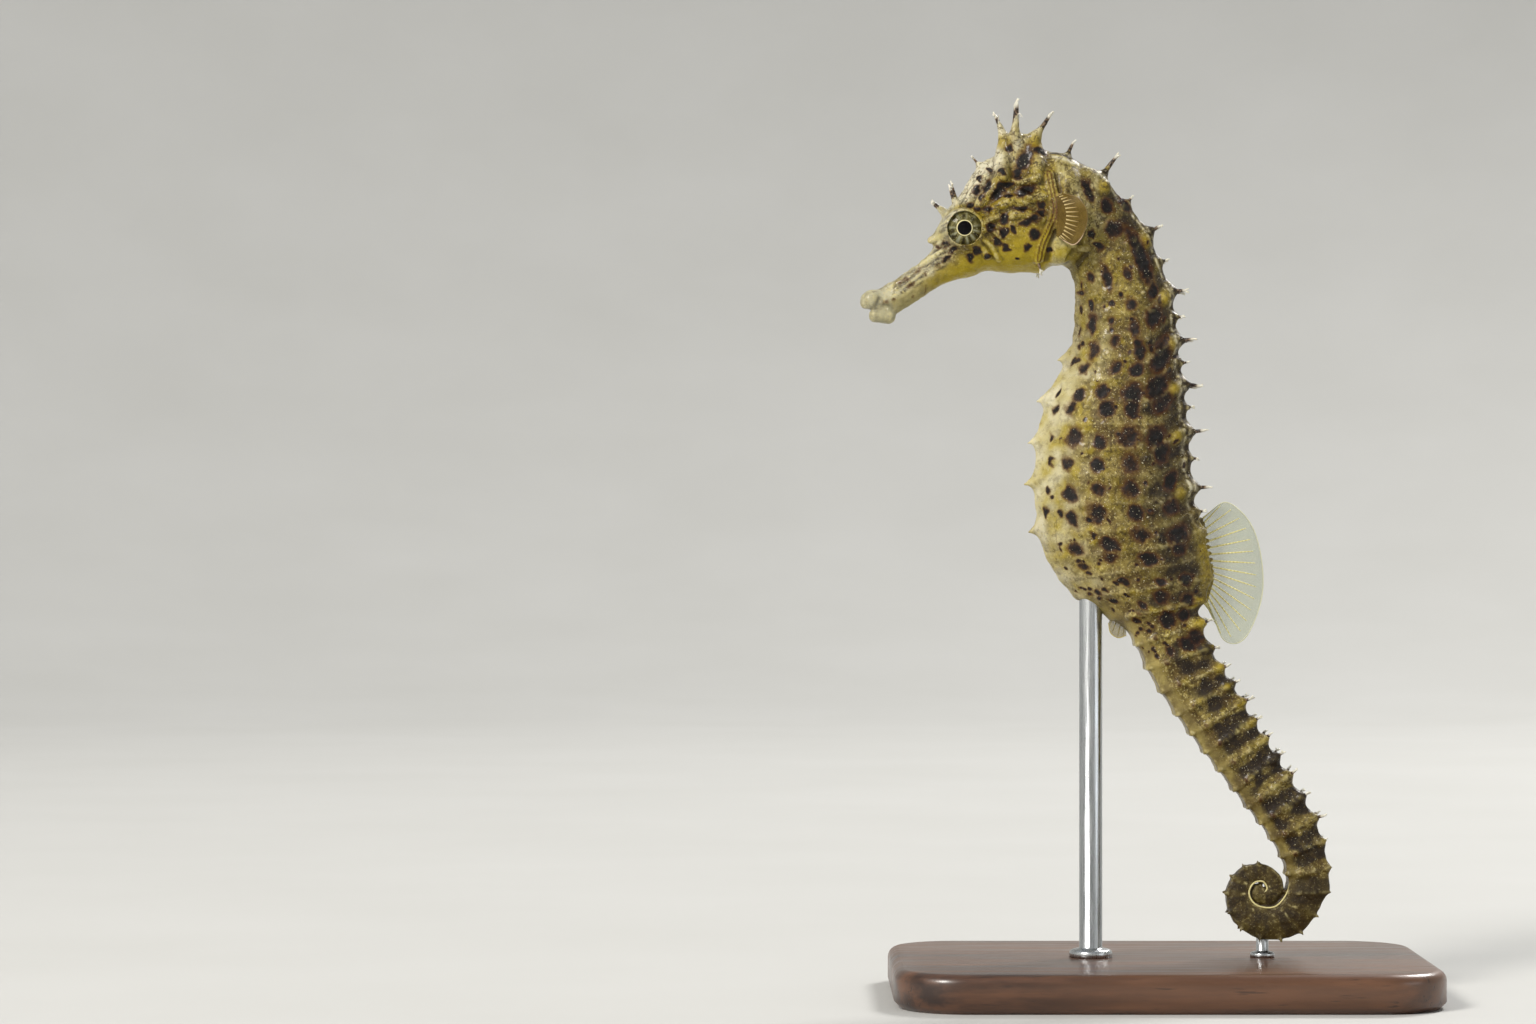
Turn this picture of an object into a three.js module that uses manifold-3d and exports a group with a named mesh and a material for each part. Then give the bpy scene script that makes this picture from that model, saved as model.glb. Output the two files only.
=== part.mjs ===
// A still, life-size display model of a slender spiny seahorse on a small stand.
// Millimetres, +Z up. The animal faces -X, and its left side faces -Y.
// The origin is the centre of the stand's underside.

import * as THREE from 'three';
import { mergeVertices } from 'three/addons/utils/BufferGeometryUtils.js';
import Module from 'manifold-3d';

const wasm = await Module();
wasm.setup();

// ---------------------------------------------------------------- driving dimensions

// Clearance between neighbouring solids.
const GAP = 0.3;

// Cross-sections of the body from the mouth to the last straight of the tail. Each one spans
// from its back edge to its belly edge in the plane of symmetry. half is half its width, and
// lateral is the height of its widest point, from 0 at the belly edge to 1 at the back edge.
const STATIONS = [
  { back: [-36.9, 91.6], belly: [-34.8, 88.3], half: 1.6, lateral: 0.5 },
  { back: [-34.1, 93.3], belly: [-32.0, 90.0], half: 1.5, lateral: 0.5 },
  { back: [-31.0, 95.5], belly: [-28.8, 92.1], half: 1.65, lateral: 0.5 },
  { back: [-29.5, 97.3], belly: [-26.5, 93.0], half: 2.1, lateral: 0.5 },
  { back: [-28.6, 100.3], belly: [-24.4, 93.5], half: 3.1, lateral: 0.5 },
  { back: [-27.3, 102.6], belly: [-22.5, 94.2], half: 3.8, lateral: 0.5 },
  { back: [-26.0, 104.1], belly: [-19.9, 93.9], half: 4.1, lateral: 0.5 },
  { back: [-23.4, 108.0], belly: [-17.0, 94.0], half: 4.3, lateral: 0.5 },
  { back: [-19.9, 109.6], belly: [-15.5, 93.9], half: 4.4, lateral: 0.52 },
  { back: [-14.9, 109.9], belly: [-14.3, 94.7], half: 4.2, lateral: 0.55 },
  { back: [-9.1, 107.8], belly: [-13.1, 94.9], half: 3.9, lateral: 0.62 },
  { back: [-5.1, 103.9], belly: [-12.4, 94.6], half: 3.7, lateral: 0.66 },
  { back: [-2.1, 99.8], belly: [-11.7, 93.9], half: 3.6, lateral: 0.7 },
  { back: [0.0, 95.3], belly: [-11.2, 92.0], half: 3.8, lateral: 0.7 },
  { back: [1.6, 90.0], belly: [-11.2, 89.4], half: 4.2, lateral: 0.7 },
  { back: [2.3, 83.8], belly: [-11.8, 83.8], half: 4.8, lateral: 0.7 },
  { back: [3.1, 77.4], belly: [-14.9, 77.4], half: 5.6, lateral: 0.7 },
  { back: [3.7, 70.9], belly: [-16.2, 70.9], half: 6.2, lateral: 0.7 },
  { back: [4.3, 64.4], belly: [-16.4, 64.4], half: 6.4, lateral: 0.7 },
  { back: [5.6, 60.0], belly: [-15.2, 57.6], half: 6.2, lateral: 0.7 },
  { back: [6.4, 55.0], belly: [-11.7, 52.2], half: 5.3, lateral: 0.68 },
  { back: [5.7, 51.7], belly: [-7.0, 49.2], half: 4.5, lateral: 0.62 },
  { back: [4.9, 49.4], belly: [-4.0, 46.6], half: 3.9, lateral: 0.56 },
  { back: [6.8, 44.2], belly: [-1.2, 41.5], half: 3.6, lateral: 0.5 },
  { back: [9.4, 40.0], belly: [2.5, 35.9], half: 3.5, lateral: 0.5 },
  { back: [12.6, 34.6], belly: [6.6, 30.5], half: 3.25, lateral: 0.5 },
  { back: [16.1, 29.2], belly: [10.9, 25.0], half: 3.0, lateral: 0.5 },
  { back: [19.2, 24.2], belly: [13.8, 21.2], half: 2.75, lateral: 0.5 },
  { back: [21.0, 20.1], belly: [15.7, 18.0], half: 2.5, lateral: 0.5 },
  { back: [21.8, 16.0], belly: [16.4, 15.4], half: 2.4, lateral: 0.5 },
];

// The coiled end of the tail winds down, forward and up round this centre. The radii of its
// outer (back) and inner (belly) edges are given at each quarter turn, starting behind the centre.
const COIL = {
  x: 13.26,
  z: 13.44,
  outer: [8.35, 6.1, 4.75, 3.7, 2.42, 1.45, 1.05, 0.8],
  inner: [2.99, 1.83, 1.78, 1.38, 0.55, 0.2, 0.2, 0.3],
  widthToDepth: 0.87,
};

// Station numbers where the snout ends, the gill cover ends and the coil starts.
const SNOUT_END = 3.3;
const GILL_EDGE = 9;
const COIL_START = STATIONS.length;

// Bony rings. The pitch is the distance between crests along the middle of the body, given at
// distances from the gill edge and shrinking towards the tip of the tail.
const FIRST_CREST = 1.7;
const RING_PITCH = [
  [27, 2.9], [38, 3.75], [43, 3.4], [62, 3.4], [70, 2.92], [97, 2.92], [103, 1.9], [112, 1.7], [125, 0.7],
];
const RING_RELIEF = 0.25;
const SPINE_BASE = 0.55;

// Lengths of the spines where the rings cross each ridge, on every second ring and between.
const SPINES = {
  superior: { long: 2.1, short: 0.8 },
  lateral: { long: 0.8, short: 0.3 },
  inferior: { long: 0.7, short: 0.3 },
};
const TAIL_SPINE_SHARE = 0.75;

// Thorns on the keel of the belly, at distances from the gill edge.
const KEEL_THORNS = { first: 24.2, pitch: 5.45, count: 5, length: 1.15, radius: 0.8 };

// Eyes.
const EYE = { x: -25.6, z: 99.5, y: 2.6, radius: 2.25, rim: 2.95, rimOut: 4.1 };

// Coronet: a short five-pointed crown on the top of the head.
const CORONET = { x: -18.2, z: 110.1, length: 2.9, width: 2.3, height: 2.3, taper: 0.9 };

// Stand.
const BASE = { length: 70, width: 48, height: 5, corner: 9, bevel: 0.8 };
const ROD = { x: -9.0, radius: 1.5, sink: 3.2, foot: 1.6, collar: 2.8, collarHeight: 1.1 };
const PIN = { x: 13.3, radius: 0.8, sink: 1.1, foot: 1.6, collar: 1.6, collarHeight: 0.7 };

const Y = new THREE.Vector3(0, 1, 0);

// ---------------------------------------------------------------- colours

const FINISH = {
  skin: { color: 0xb39f5e, roughness: 0.6 },
  snout: { color: 0xbfae76, roughness: 0.5 },
  eye: { color: 0x2b2a1c, roughness: 0.1 },
  fin: { color: 0xd8d2a0, roughness: 0.4 },
  tail: { color: 0x8a7440, roughness: 0.6 },
  wood: { color: 0x4a3324, roughness: 0.5 },
  steel: { color: 0xb8bcc0, roughness: 0.3, metalness: 1.0 },
};

// ---------------------------------------------------------------- solids

// A named mesh with a material of its own.
function named(name, geometry, finish) {
  const mesh = new THREE.Mesh(geometry, new THREE.MeshStandardMaterial(finish));
  mesh.name = name;
  return mesh;
}

// Signed volume, positive when the faces point out.
function signedVolume(geometry) {
  const p = geometry.attributes.position;
  const index = geometry.index.array;
  const [a, b, c] = [new THREE.Vector3(), new THREE.Vector3(), new THREE.Vector3()];
  let sum = 0;
  for (let i = 0; i < index.length; i += 3) {
    a.fromBufferAttribute(p, index[i]);
    b.fromBufferAttribute(p, index[i + 1]);
    c.fromBufferAttribute(p, index[i + 2]);
    sum += a.dot(b.cross(c)) / 6;
  }
  return sum;
}

// An indexed geometry from points and triangles, turned so that its faces point out.
function closedGeometry(points, triangles) {
  const geometry = new THREE.BufferGeometry();
  const values = points.flatMap((p) => [p.x, p.y, p.z]);
  geometry.setAttribute('position', new THREE.Float32BufferAttribute(values, 3));
  geometry.setIndex(triangles.flat());
  if (signedVolume(geometry) < 0) {
    geometry.setIndex(triangles.flatMap(([a, b, c]) => [a, c, b]));
  }
  return geometry;
}

// A closed skin over rings of points, with a fan over each end.
function loft(rings) {
  const n = rings[0].length;
  const points = rings.flat();
  const triangles = [];
  for (let r = 0; r + 1 < rings.length; r += 1) {
    for (let k = 0; k < n; k += 1) {
      const a = r * n + k;
      const b = r * n + ((k + 1) % n);
      triangles.push([a, b, b + n], [a, b + n, a + n]);
    }
  }
  for (const [start, flip] of [[0, true], [(rings.length - 1) * n, false]]) {
    const centre = new THREE.Vector3();
    for (let k = 0; k < n; k += 1) centre.addScaledVector(points[start + k], 1 / n);
    points.push(centre);
    const c = points.length - 1;
    for (let k = 0; k < n; k += 1) {
      const a = start + k;
      const b = start + ((k + 1) % n);
      triangles.push(flip ? [a, c, b] : [a, b, c]);
    }
  }
  return closedGeometry(points, triangles);
}

// A manifold solid from a three.js geometry, optionally placed by a matrix.
function solid(geometry, matrix = new THREE.Matrix4()) {
  const bare = geometry.clone().applyMatrix4(matrix);
  bare.deleteAttribute('normal');
  bare.deleteAttribute('uv');
  const merged = mergeVertices(bare, 1e-5);
  return new wasm.Manifold(new wasm.Mesh({
    numProp: 3,
    vertProperties: Float32Array.from(merged.attributes.position.array),
    triVerts: Uint32Array.from(merged.index.array),
  }));
}

// The geometry of a manifold solid.
function geometryOf(manifold) {
  const mesh = manifold.getMesh();
  const geometry = new THREE.BufferGeometry();
  geometry.setAttribute('position', new THREE.BufferAttribute(Float32Array.from(mesh.vertProperties), 3));
  geometry.setIndex(new THREE.BufferAttribute(Uint32Array.from(mesh.triVerts), 1));
  return geometry;
}

// A cylinder or cone from one point to another.
function taper(from, to, fromRadius, toRadius, sides) {
  const axis = new THREE.Vector3().subVectors(to, from);
  const geometry = new THREE.CylinderGeometry(toRadius, fromRadius, axis.length(), sides);
  const turn = new THREE.Quaternion().setFromUnitVectors(Y, axis.clone().normalize());
  const middle = new THREE.Vector3().addVectors(from, to).multiplyScalar(0.5);
  return solid(geometry, new THREE.Matrix4().compose(middle, turn, new THREE.Vector3(1, 1, 1)));
}

// A spine from inside the body to its tip.
function spine(root, tip, radius) {
  const SIDES = 5;
  const TIP_RADIUS = 0.15;
  const DEPTH = 0.5;
  const out = new THREE.Vector3().subVectors(tip, root).normalize();
  return taper(root.clone().addScaledVector(out, -DEPTH), tip, radius, TIP_RADIUS, SIDES);
}

// ---------------------------------------------------------------- the line of the body

// Sections of the coil at every eighth of a turn.
function coilStations() {
  const quarters = COIL.outer.length - 1;
  const radii = new THREE.CatmullRomCurve3(
    COIL.outer.map((outer, i) => new THREE.Vector3(outer, COIL.inner[i], 0)), false, 'catmullrom');
  const stations = [];
  for (let i = 0; i <= 2 * quarters; i += 1) {
    const { x: outer, y: inner } = radii.getPoint(i / (2 * quarters));
    const angle = (-i * Math.PI) / 4;
    const [c, s] = [Math.cos(angle), Math.sin(angle)];
    stations.push({
      back: [COIL.x + outer * c, COIL.z + outer * s],
      belly: [COIL.x + inner * c, COIL.z + inner * s],
      half: (COIL.widthToDepth * (outer - inner)) / 2,
      lateral: 0.5,
    });
  }
  return stations;
}

const allStations = [...STATIONS, ...coilStations()];
const LAST = allStations.length - 1;
const curveOf = (pick) => new THREE.CatmullRomCurve3(allStations.map(pick), false, 'catmullrom', 0.5);
const backEdge = curveOf(({ back }) => new THREE.Vector3(back[0], 0, back[1]));
const bellyEdge = curveOf(({ belly }) => new THREE.Vector3(belly[0], 0, belly[1]));
const sizes = curveOf(({ half, lateral }) => new THREE.Vector3(half, lateral, 0));

// The section at a station number, which may be fractional.
function sectionAt(station) {
  const t = Math.min(Math.max(station / LAST, 0), 1);
  const back = backEdge.getPoint(t);
  const belly = bellyEdge.getPoint(t);
  const size = sizes.getPoint(t);
  return { station, back, belly, half: size.x, lateral: size.y };
}

// Distance along the middle of the body from the gill edge, at fine steps of the station number.
const STEPS_PER_STATION = 24;
const distances = [0];
const middleAt = (station) => {
  const { back, belly } = sectionAt(station);
  return back.add(belly).multiplyScalar(0.5);
};
for (let i = 1; i <= (LAST - GILL_EDGE) * STEPS_PER_STATION; i += 1) {
  const here = GILL_EDGE + i / STEPS_PER_STATION;
  const step = middleAt(here).distanceTo(middleAt(here - 1 / STEPS_PER_STATION));
  distances.push(distances[i - 1] + step);
}
const BODY_LENGTH = distances[distances.length - 1];

// The section at a distance from the gill edge.
function sectionAlong(distance) {
  const wanted = Math.min(Math.max(distance, 0), BODY_LENGTH);
  let i = distances.findIndex((d) => d >= wanted);
  i = Math.max(i, 1);
  const part = (wanted - distances[i - 1]) / (distances[i] - distances[i - 1]);
  return sectionAt(GILL_EDGE + (i - 1 + part) / STEPS_PER_STATION);
}

// A value that runs straight between [place, value] pairs.
function between(pairs, place) {
  const last = pairs.length - 1;
  if (place <= pairs[0][0]) return pairs[0][1];
  if (place >= pairs[last][0]) return pairs[last][1];
  const i = pairs.findIndex(([p]) => p > place);
  const [[p0, v0], [p1, v1]] = [pairs[i - 1], pairs[i]];
  return v0 + ((v1 - v0) * (place - p0)) / (p1 - p0);
}

// The point of a section at width y and height h, from -1 at the belly edge to 1 at the back.
function inSection(section, y, h) {
  return section.belly.clone().lerp(section.back, (h + 1) / 2).add(new THREE.Vector3(0, y, 0));
}

// ---------------------------------------------------------------- ringed lengths: neck, trunk and tail

// Crests of all the rings, as distances from the gill edge.
const crests = [];
for (let d = FIRST_CREST; d < BODY_LENGTH - 0.6; d += between(RING_PITCH, d)) crests.push(d);

// Corners of a trunk section: keel, inferior, lateral and superior ridges. Towards the tail the
// inferior and superior ridges spread until they are the four corners of a square.
function trunkCorners({ station, half, lateral }) {
  const spread = THREE.MathUtils.smoothstep(station, 19.5, 23);
  const mix = (trunk, tail) => THREE.MathUtils.lerp(trunk, tail, spread);
  const side = [
    { ridge: 'inferior', y: mix(0.8, 0.78) * half, h: mix(-0.42, -0.93), flanked: true },
    { ridge: 'lateral', y: half, h: 2 * lateral - 1, flanked: true },
    { ridge: 'superior', y: mix(0.5, 0.78) * half, h: 1, flanked: true },
  ];
  return withMirror([{ ridge: 'keel', y: 0, h: -1 }, ...side]);
}

// Corners of a tail section: two inferior and two superior ridges, and the middles of the sides.
function tailCorners({ half }) {
  return withMirror([
    { ridge: 'edge', y: 0.8 * half, h: -0.97 },
    { ridge: 'side', y: half, h: 0 },
    { ridge: 'superior', y: 0.8 * half, h: 0.97, flanked: true },
  ]);
}

// Corners of a section of the coil, an eight-sided shape with no spines.
function coilCorners({ half }) {
  return withMirror([
    { ridge: 'keel', y: 0, h: -0.92 },
    { ridge: 'edge', y: 0.82 * half, h: -0.9 },
    { ridge: 'side', y: half, h: 0 },
    { ridge: 'edge', y: 0.82 * half, h: 0.94 },
    { ridge: 'middle', y: 0, h: 1 },
  ]);
}

// The corners of one side, and the same on the other side in reverse order.
function withMirror(corners) {
  const others = corners.filter(({ y }) => y > 0).reverse();
  return [...corners, ...others.map((corner) => ({ ...corner, y: -corner.y }))];
}

// Every second ring carries long spines.
const isLong = (ring) => ring % 2 === 1;

// Length of the spine on a ridge at a ring. Spines shorten on the tail and end at the coil.
function spineLength(ridge, ring, distance) {
  const lengths = SPINES[ridge];
  if (!lengths) return 0;
  const share = between([[57, 1], [62, TAIL_SPINE_SHARE], [92, TAIL_SPINE_SHARE], [96, 0]], distance);
  return (isLong(ring) ? lengths.long : lengths.short) * share;
}

// One closed outline round a section. swell pushes every corner out, less so along the keel,
// and a flanked corner has a point at each side that keeps the root of its spine narrow.
function outline(section, corners, swell, spineOf) {
  const KEEL_SWELL = 0.4;
  const CENTRE_HEIGHT = 0.05;
  const WIDEST_FLANK = 0.3;
  const centre = inSection(section, 0, CENTRE_HEIGHT);
  const points = corners.map(({ y, h }) => inSection(section, y, h));
  const ring = [];
  corners.forEach(({ ridge, flanked }, i) => {
    const point = points[i];
    const outward = new THREE.Vector3().subVectors(point, centre).normalize();
    const rise = swell * (ridge === 'keel' ? KEEL_SWELL : 1);
    for (const side of flanked ? [-1, 0, 1] : [0]) {
      const next = points[(i + side + points.length) % points.length];
      const share = side === 0 ? 0 : Math.min(WIDEST_FLANK, SPINE_BASE / point.distanceTo(next));
      const spot = point.clone().lerp(next, share);
      ring.push(spot.addScaledVector(outward, rise + (side === 0 ? spineOf(ridge) : 0)));
    }
  });
  return ring;
}

// Distance from the gill edge where a ring begins: halfway between its crest and the one before.
function ringStart(ring) {
  if (ring === 0) return 0;
  if (ring >= crests.length) return BODY_LENGTH;
  return (crests[ring - 1] + crests[ring]) / 2;
}

// The length of body that carries rings from one number up to another, cut flat at each end.
function ringedLength(first, end, cornersOf) {
  const rings = [];
  const add = (distance, swell, spineOf) => {
    const section = sectionAlong(distance);
    rings.push(outline(section, cornersOf(section), swell, spineOf));
  };
  const smooth = () => 0;
  add(ringStart(first) + GAP / 2, 0, smooth);
  for (let ring = first; ring < end; ring += 1) {
    const crest = crests[ring];
    const relief = RING_RELIEF * Math.min(1, sectionAlong(crest).half / 3);
    const spined = isLong(ring) && spineLength('superior', ring, crest) > 0;
    if (spined) add(crest - SPINE_BASE, relief, smooth);
    add(crest, relief, (ridge) => spineLength(ridge, ring, crest));
    if (spined) add(crest + SPINE_BASE, relief, smooth);
    const cut = ring === end - 1 ? GAP / 2 : 0;
    add(ringStart(ring + 1) - cut, 0, smooth);
  }
  return loft(rings);
}

// ---------------------------------------------------------------- head

// An oval outline round a section of the snout or head. The head narrows towards its crown.
function ovalOutline(section, count) {
  const CROWN_NARROWING = 0.35;
  const WIDE_HEAD = 4;
  const ring = [];
  for (let k = 0; k < count; k += 1) {
    const angle = (2 * Math.PI * k) / count - Math.PI / 2;
    const h = Math.sin(angle);
    const narrowing = CROWN_NARROWING * Math.max(0, h) ** 2 * Math.min(1, section.half / WIDE_HEAD);
    const width = section.half * (1 - narrowing);
    ring.push(inSection(section, width * Math.cos(angle), h));
  }
  return ring;
}

// A smooth length of snout or head between two station numbers.
function smoothLength(from, to, steps, count) {
  const rings = [];
  for (let i = 0; i <= steps; i += 1) {
    rings.push(ovalOutline(sectionAt(from + ((to - from) * i) / steps), count));
  }
  return solid(loft(rings));
}

// An egg shape with three half-lengths, its first axis tilted up from +X by an angle.
function egg(x, y, z, halves, tilt) {
  const geometry = new THREE.SphereGeometry(1, 9, 6);
  const turn = new THREE.Quaternion().setFromAxisAngle(Y, -tilt);
  const centre = new THREE.Vector3(x, y, z);
  const matrix = new THREE.Matrix4().compose(centre, turn, new THREE.Vector3(...halves));
  return solid(geometry, matrix);
}

// The snout, with the knob of the upper lip and the hanging flap of the lower lip.
function makeSnout() {
  const SLOPE = 0.58;
  const tube = smoothLength(0, SNOUT_END - 0.04, 7, 12);
  const upperLip = egg(-37.5, 0, 90.35, [1.55, 1.5, 1.35], SLOPE);
  const lowerLip = egg(-36.1, 0, 88.5, [1.75, 1.35, 1.15], 0.1);
  return geometryOf(tube.add(upperLip).add(lowerLip));
}

// Spines of the head: root, tip and radius, with those off the middle on both sides.
const HEAD_SPINES = [
  { root: [-28.3, 1.3, 102.0], tip: [-29.6, 1.8, 103.1], radius: 0.55 },
  { root: [-26.4, 2.6, 102.6], tip: [-27.3, 3.3, 105.3], radius: 0.7 },
  { root: [-28.9, 0, 98.2], tip: [-30.2, 0, 98.1], radius: 0.7 },
  { root: [-23.4, 0, 107.8], tip: [-24.3, 0, 108.9], radius: 0.6 },
  { root: [-16.0, 2.4, 94.9], tip: [-15.5, 2.7, 93.7], radius: 0.6 },
];

// All the spines of a list, joined to a solid.
function withSpines(body, list) {
  let joined = body;
  for (const { root, tip, radius } of list) {
    for (const side of root[1] === 0 ? [1] : [1, -1]) {
      const place = ([x, y, z]) => new THREE.Vector3(x, side * y, z);
      joined = joined.add(spine(place(root), place(tip), radius));
    }
  }
  return joined;
}

// The head, with raised rims round the eyes, sockets, and a flat seat for the coronet.
function makeHead() {
  let head = smoothLength(SNOUT_END + 0.06, GILL_EDGE - 0.05, 12, 16);
  for (const side of [-1, 1]) {
    const deep = new THREE.Vector3(EYE.x, side * 1.5, EYE.z);
    const out = new THREE.Vector3(EYE.x, side * EYE.rimOut, EYE.z);
    head = head.add(taper(deep, out, EYE.rim + 0.7, EYE.rim - 0.2, 12));
  }
  head = withSpines(head, HEAD_SPINES);
  for (const side of [-1, 1]) {
    const socket = new THREE.SphereGeometry(EYE.radius + GAP, 12, 8);
    head = head.subtract(solid(socket, new THREE.Matrix4().makeTranslation(EYE.x, side * EYE.y, EYE.z)));
  }
  const seat = new THREE.CylinderGeometry(1, 1, 6, 16).rotateX(Math.PI / 2);
  const seatPlace = new THREE.Matrix4().makeTranslation(CORONET.x, 0, CORONET.z - GAP + 3);
  const seatSize = new THREE.Matrix4().makeScale(CORONET.length + GAP, CORONET.width + GAP, 1);
  return geometryOf(head.subtract(solid(seat, seatPlace.multiply(seatSize))));
}

// The coronet: a tapered column with a dished top and five spines round its rim.
function makeCoronet() {
  const { x, z, length, width, height, taper: narrowing } = CORONET;
  const column = new THREE.CylinderGeometry(narrowing, 1, height, 12).rotateX(Math.PI / 2);
  const matrix = new THREE.Matrix4().makeTranslation(x, 0, z + height / 2);
  const body = solid(column, matrix.multiply(new THREE.Matrix4().makeScale(length, width, 1)));
  const dish = egg(x + 0.1, 0, z + height + 0.5, [length * 0.7, width * 0.65, 1.0], 0);
  const rim = z + height - 0.5;
  return geometryOf(withSpines(body.subtract(dish), [
    { root: [x - 2.2, 0, rim], tip: [x - 3.3, 0, rim + 2.9], radius: 0.8 },
    { root: [x - 0.8, 1.4, rim], tip: [x - 0.3, 1.9, rim + 4.1], radius: 0.9 },
    { root: [x + 2.0, 1.1, rim], tip: [x + 4.1, 1.6, rim + 2.6], radius: 0.8 },
  ]));
}

function makeEye(side) {
  const geometry = new THREE.SphereGeometry(EYE.radius, 12, 9).rotateX(Math.PI / 2);
  return geometry.translate(EYE.x, side * EYE.y, EYE.z);
}

// ---------------------------------------------------------------- neck, trunk and tail nodes

// Rings that each node carries, and the shape of its sections.
const RINGED_NODES = [
  { name: 'neck', first: 0, end: 5, corners: trunkCorners },
  { name: 'chest', first: 5, end: 10, corners: trunkCorners },
  { name: 'belly', first: 10, end: 19, corners: trunkCorners },
  { name: 'tail_1', first: 19, end: 23, corners: tailCorners },
  { name: 'tail_2', first: 23, end: 27, corners: tailCorners },
  { name: 'tail_3', first: 27, end: 31, corners: tailCorners },
  { name: 'tail_4', first: 31, end: 34, corners: coilCorners },
  { name: 'tail_5', first: 34, end: 38, corners: coilCorners },
  { name: 'tail_6', first: 38, end: 42, corners: coilCorners },
  { name: 'tail_7', first: 42, end: Infinity, corners: coilCorners },
];

// The spines of the nape that stand taller than the ring spines.
const NAPE_SPINES = [
  { root: [-12.2, 0.9, 108.8], tip: [-11.3, 1.2, 111.0], radius: 0.6 },
  { root: [-7.6, 1.0, 106.4], tip: [-5.5, 1.4, 109.4], radius: 0.8 },
];

// Thorns on the keel, leaning a little down.
function keelThorns(from, to) {
  const thorns = [];
  for (let i = 0; i < KEEL_THORNS.count; i += 1) {
    const distance = KEEL_THORNS.first + i * KEEL_THORNS.pitch;
    if (distance > from && distance < to) {
      const { back, belly } = sectionAlong(distance);
      const out = new THREE.Vector3().subVectors(belly, back).normalize();
      const root = belly.clone().addScaledVector(out, -0.2);
      const tip = belly.clone().addScaledVector(out, KEEL_THORNS.length);
      tip.z -= 0.3;
      thorns.push({ root: root.toArray(), tip: tip.toArray(), radius: KEEL_THORNS.radius });
    }
  }
  return thorns;
}

// A hole for a rod that stands upright at a point of the middle plane.
function uprightHole({ x, radius }, top) {
  const bottom = new THREE.Vector3(x, 0, 0);
  return taper(bottom, new THREE.Vector3(x, 0, top + GAP), radius + GAP, radius + GAP, 12);
}

// Height of the underside of the belly or coil above a point of the base.
function undersideAt(x, fromStation, toStation, edge) {
  let best = sectionAt(fromStation)[edge];
  for (let s = fromStation; s <= toStation; s += 0.01) {
    const point = sectionAt(s)[edge];
    if (Math.abs(point.x - x) < Math.abs(best.x - x)) best = point;
  }
  return best.z;
}

const rodTop = undersideAt(ROD.x, 20, 22, 'belly') + ROD.sink;
const pinTop = undersideAt(PIN.x, COIL_START + 1.5, COIL_START + 2.5, 'back') + PIN.sink;

function makeRinged({ name, first, end, corners }) {
  const stop = Math.min(end, crests.length);
  let body = solid(ringedLength(first, stop, corners));
  if (name === 'neck') body = withSpines(body, NAPE_SPINES);
  body = withSpines(body, keelThorns(crests[first] - 1, crests[stop - 1] + 1));
  body = body.subtract(uprightHole(ROD, rodTop)).subtract(uprightHole(PIN, pinTop));
  const finish = name.startsWith('tail') ? FINISH.tail : FINISH.skin;
  return named(name, geometryOf(body), finish);
}

// ---------------------------------------------------------------- fins

// A fin as a fan between a root line and an edge line, with raised rays and thinner web.
function fan(rootAt, edgeAt, normal, rays, rows) {
  const WEB = 0.25;
  const RAY = 0.36;
  const columns = 2 * rays;
  const points = [];
  for (const side of [1, -1]) {
    for (let r = 0; r <= rows; r += 1) {
      for (let c = 0; c <= columns; c += 1) {
        const along = c / columns;
        const out = r / rows;
        const thick = (c % 2 === 1 ? RAY : WEB) * (c % 2 === 1 ? 1 - 0.25 * out : 1);
        const point = rootAt(along).lerp(edgeAt(along), out);
        points.push(point.addScaledVector(normal, side * thick));
      }
    }
  }
  const stride = columns + 1;
  const sheet = stride * (rows + 1);
  const triangles = [];
  const quad = (a, b, c, d) => triangles.push([a, b, c], [a, c, d]);
  for (let r = 0; r < rows; r += 1) {
    for (let c = 0; c < columns; c += 1) {
      const a = r * stride + c;
      quad(a, a + 1, a + 1 + stride, a + stride);
      quad(a + sheet, a + sheet + stride, a + sheet + stride + 1, a + sheet + 1);
    }
  }
  const wall = (a, b) => quad(b, a, a + sheet, b + sheet);
  for (let c = 0; c < columns; c += 1) {
    wall(c, c + 1);
    wall(rows * stride + c + 1, rows * stride + c);
  }
  for (let r = 0; r < rows; r += 1) {
    wall((r + 1) * stride, r * stride);
    wall(r * stride + columns, (r + 1) * stride + columns);
  }
  return closedGeometry(points, triangles);
}

// A smooth curve through a few places.
function curveThrough(places) {
  const points = places.map((place) => new THREE.Vector3(...place));
  return new THREE.CatmullRomCurve3(points, false, 'centripetal');
}

// The dorsal fin stands on the hind part of the trunk, in the plane of symmetry.
function makeDorsalFin() {
  const FIRST = 18.55;
  const END = 21.25;
  const rootAt = (t) => {
    const { back, belly } = sectionAt(FIRST + (END - FIRST) * t);
    const out = new THREE.Vector3().subVectors(back, belly).normalize();
    return back.addScaledVector(out, RING_RELIEF + GAP + 0.1);
  };
  const edge = curveThrough([
    [6.2, 0, 62.6], [8.7, 0, 64.1], [11.7, 0, 61.4], [13.2, 0, 56.6],
    [13.2, 0, 51.4], [11.0, 0, 46.4], [8.3, 0, 46.2], [6.6, 0, 50.2],
  ]);
  return fan(rootAt, (t) => edge.getPointAt(t), Y.clone(), 17, 2);
}

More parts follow.
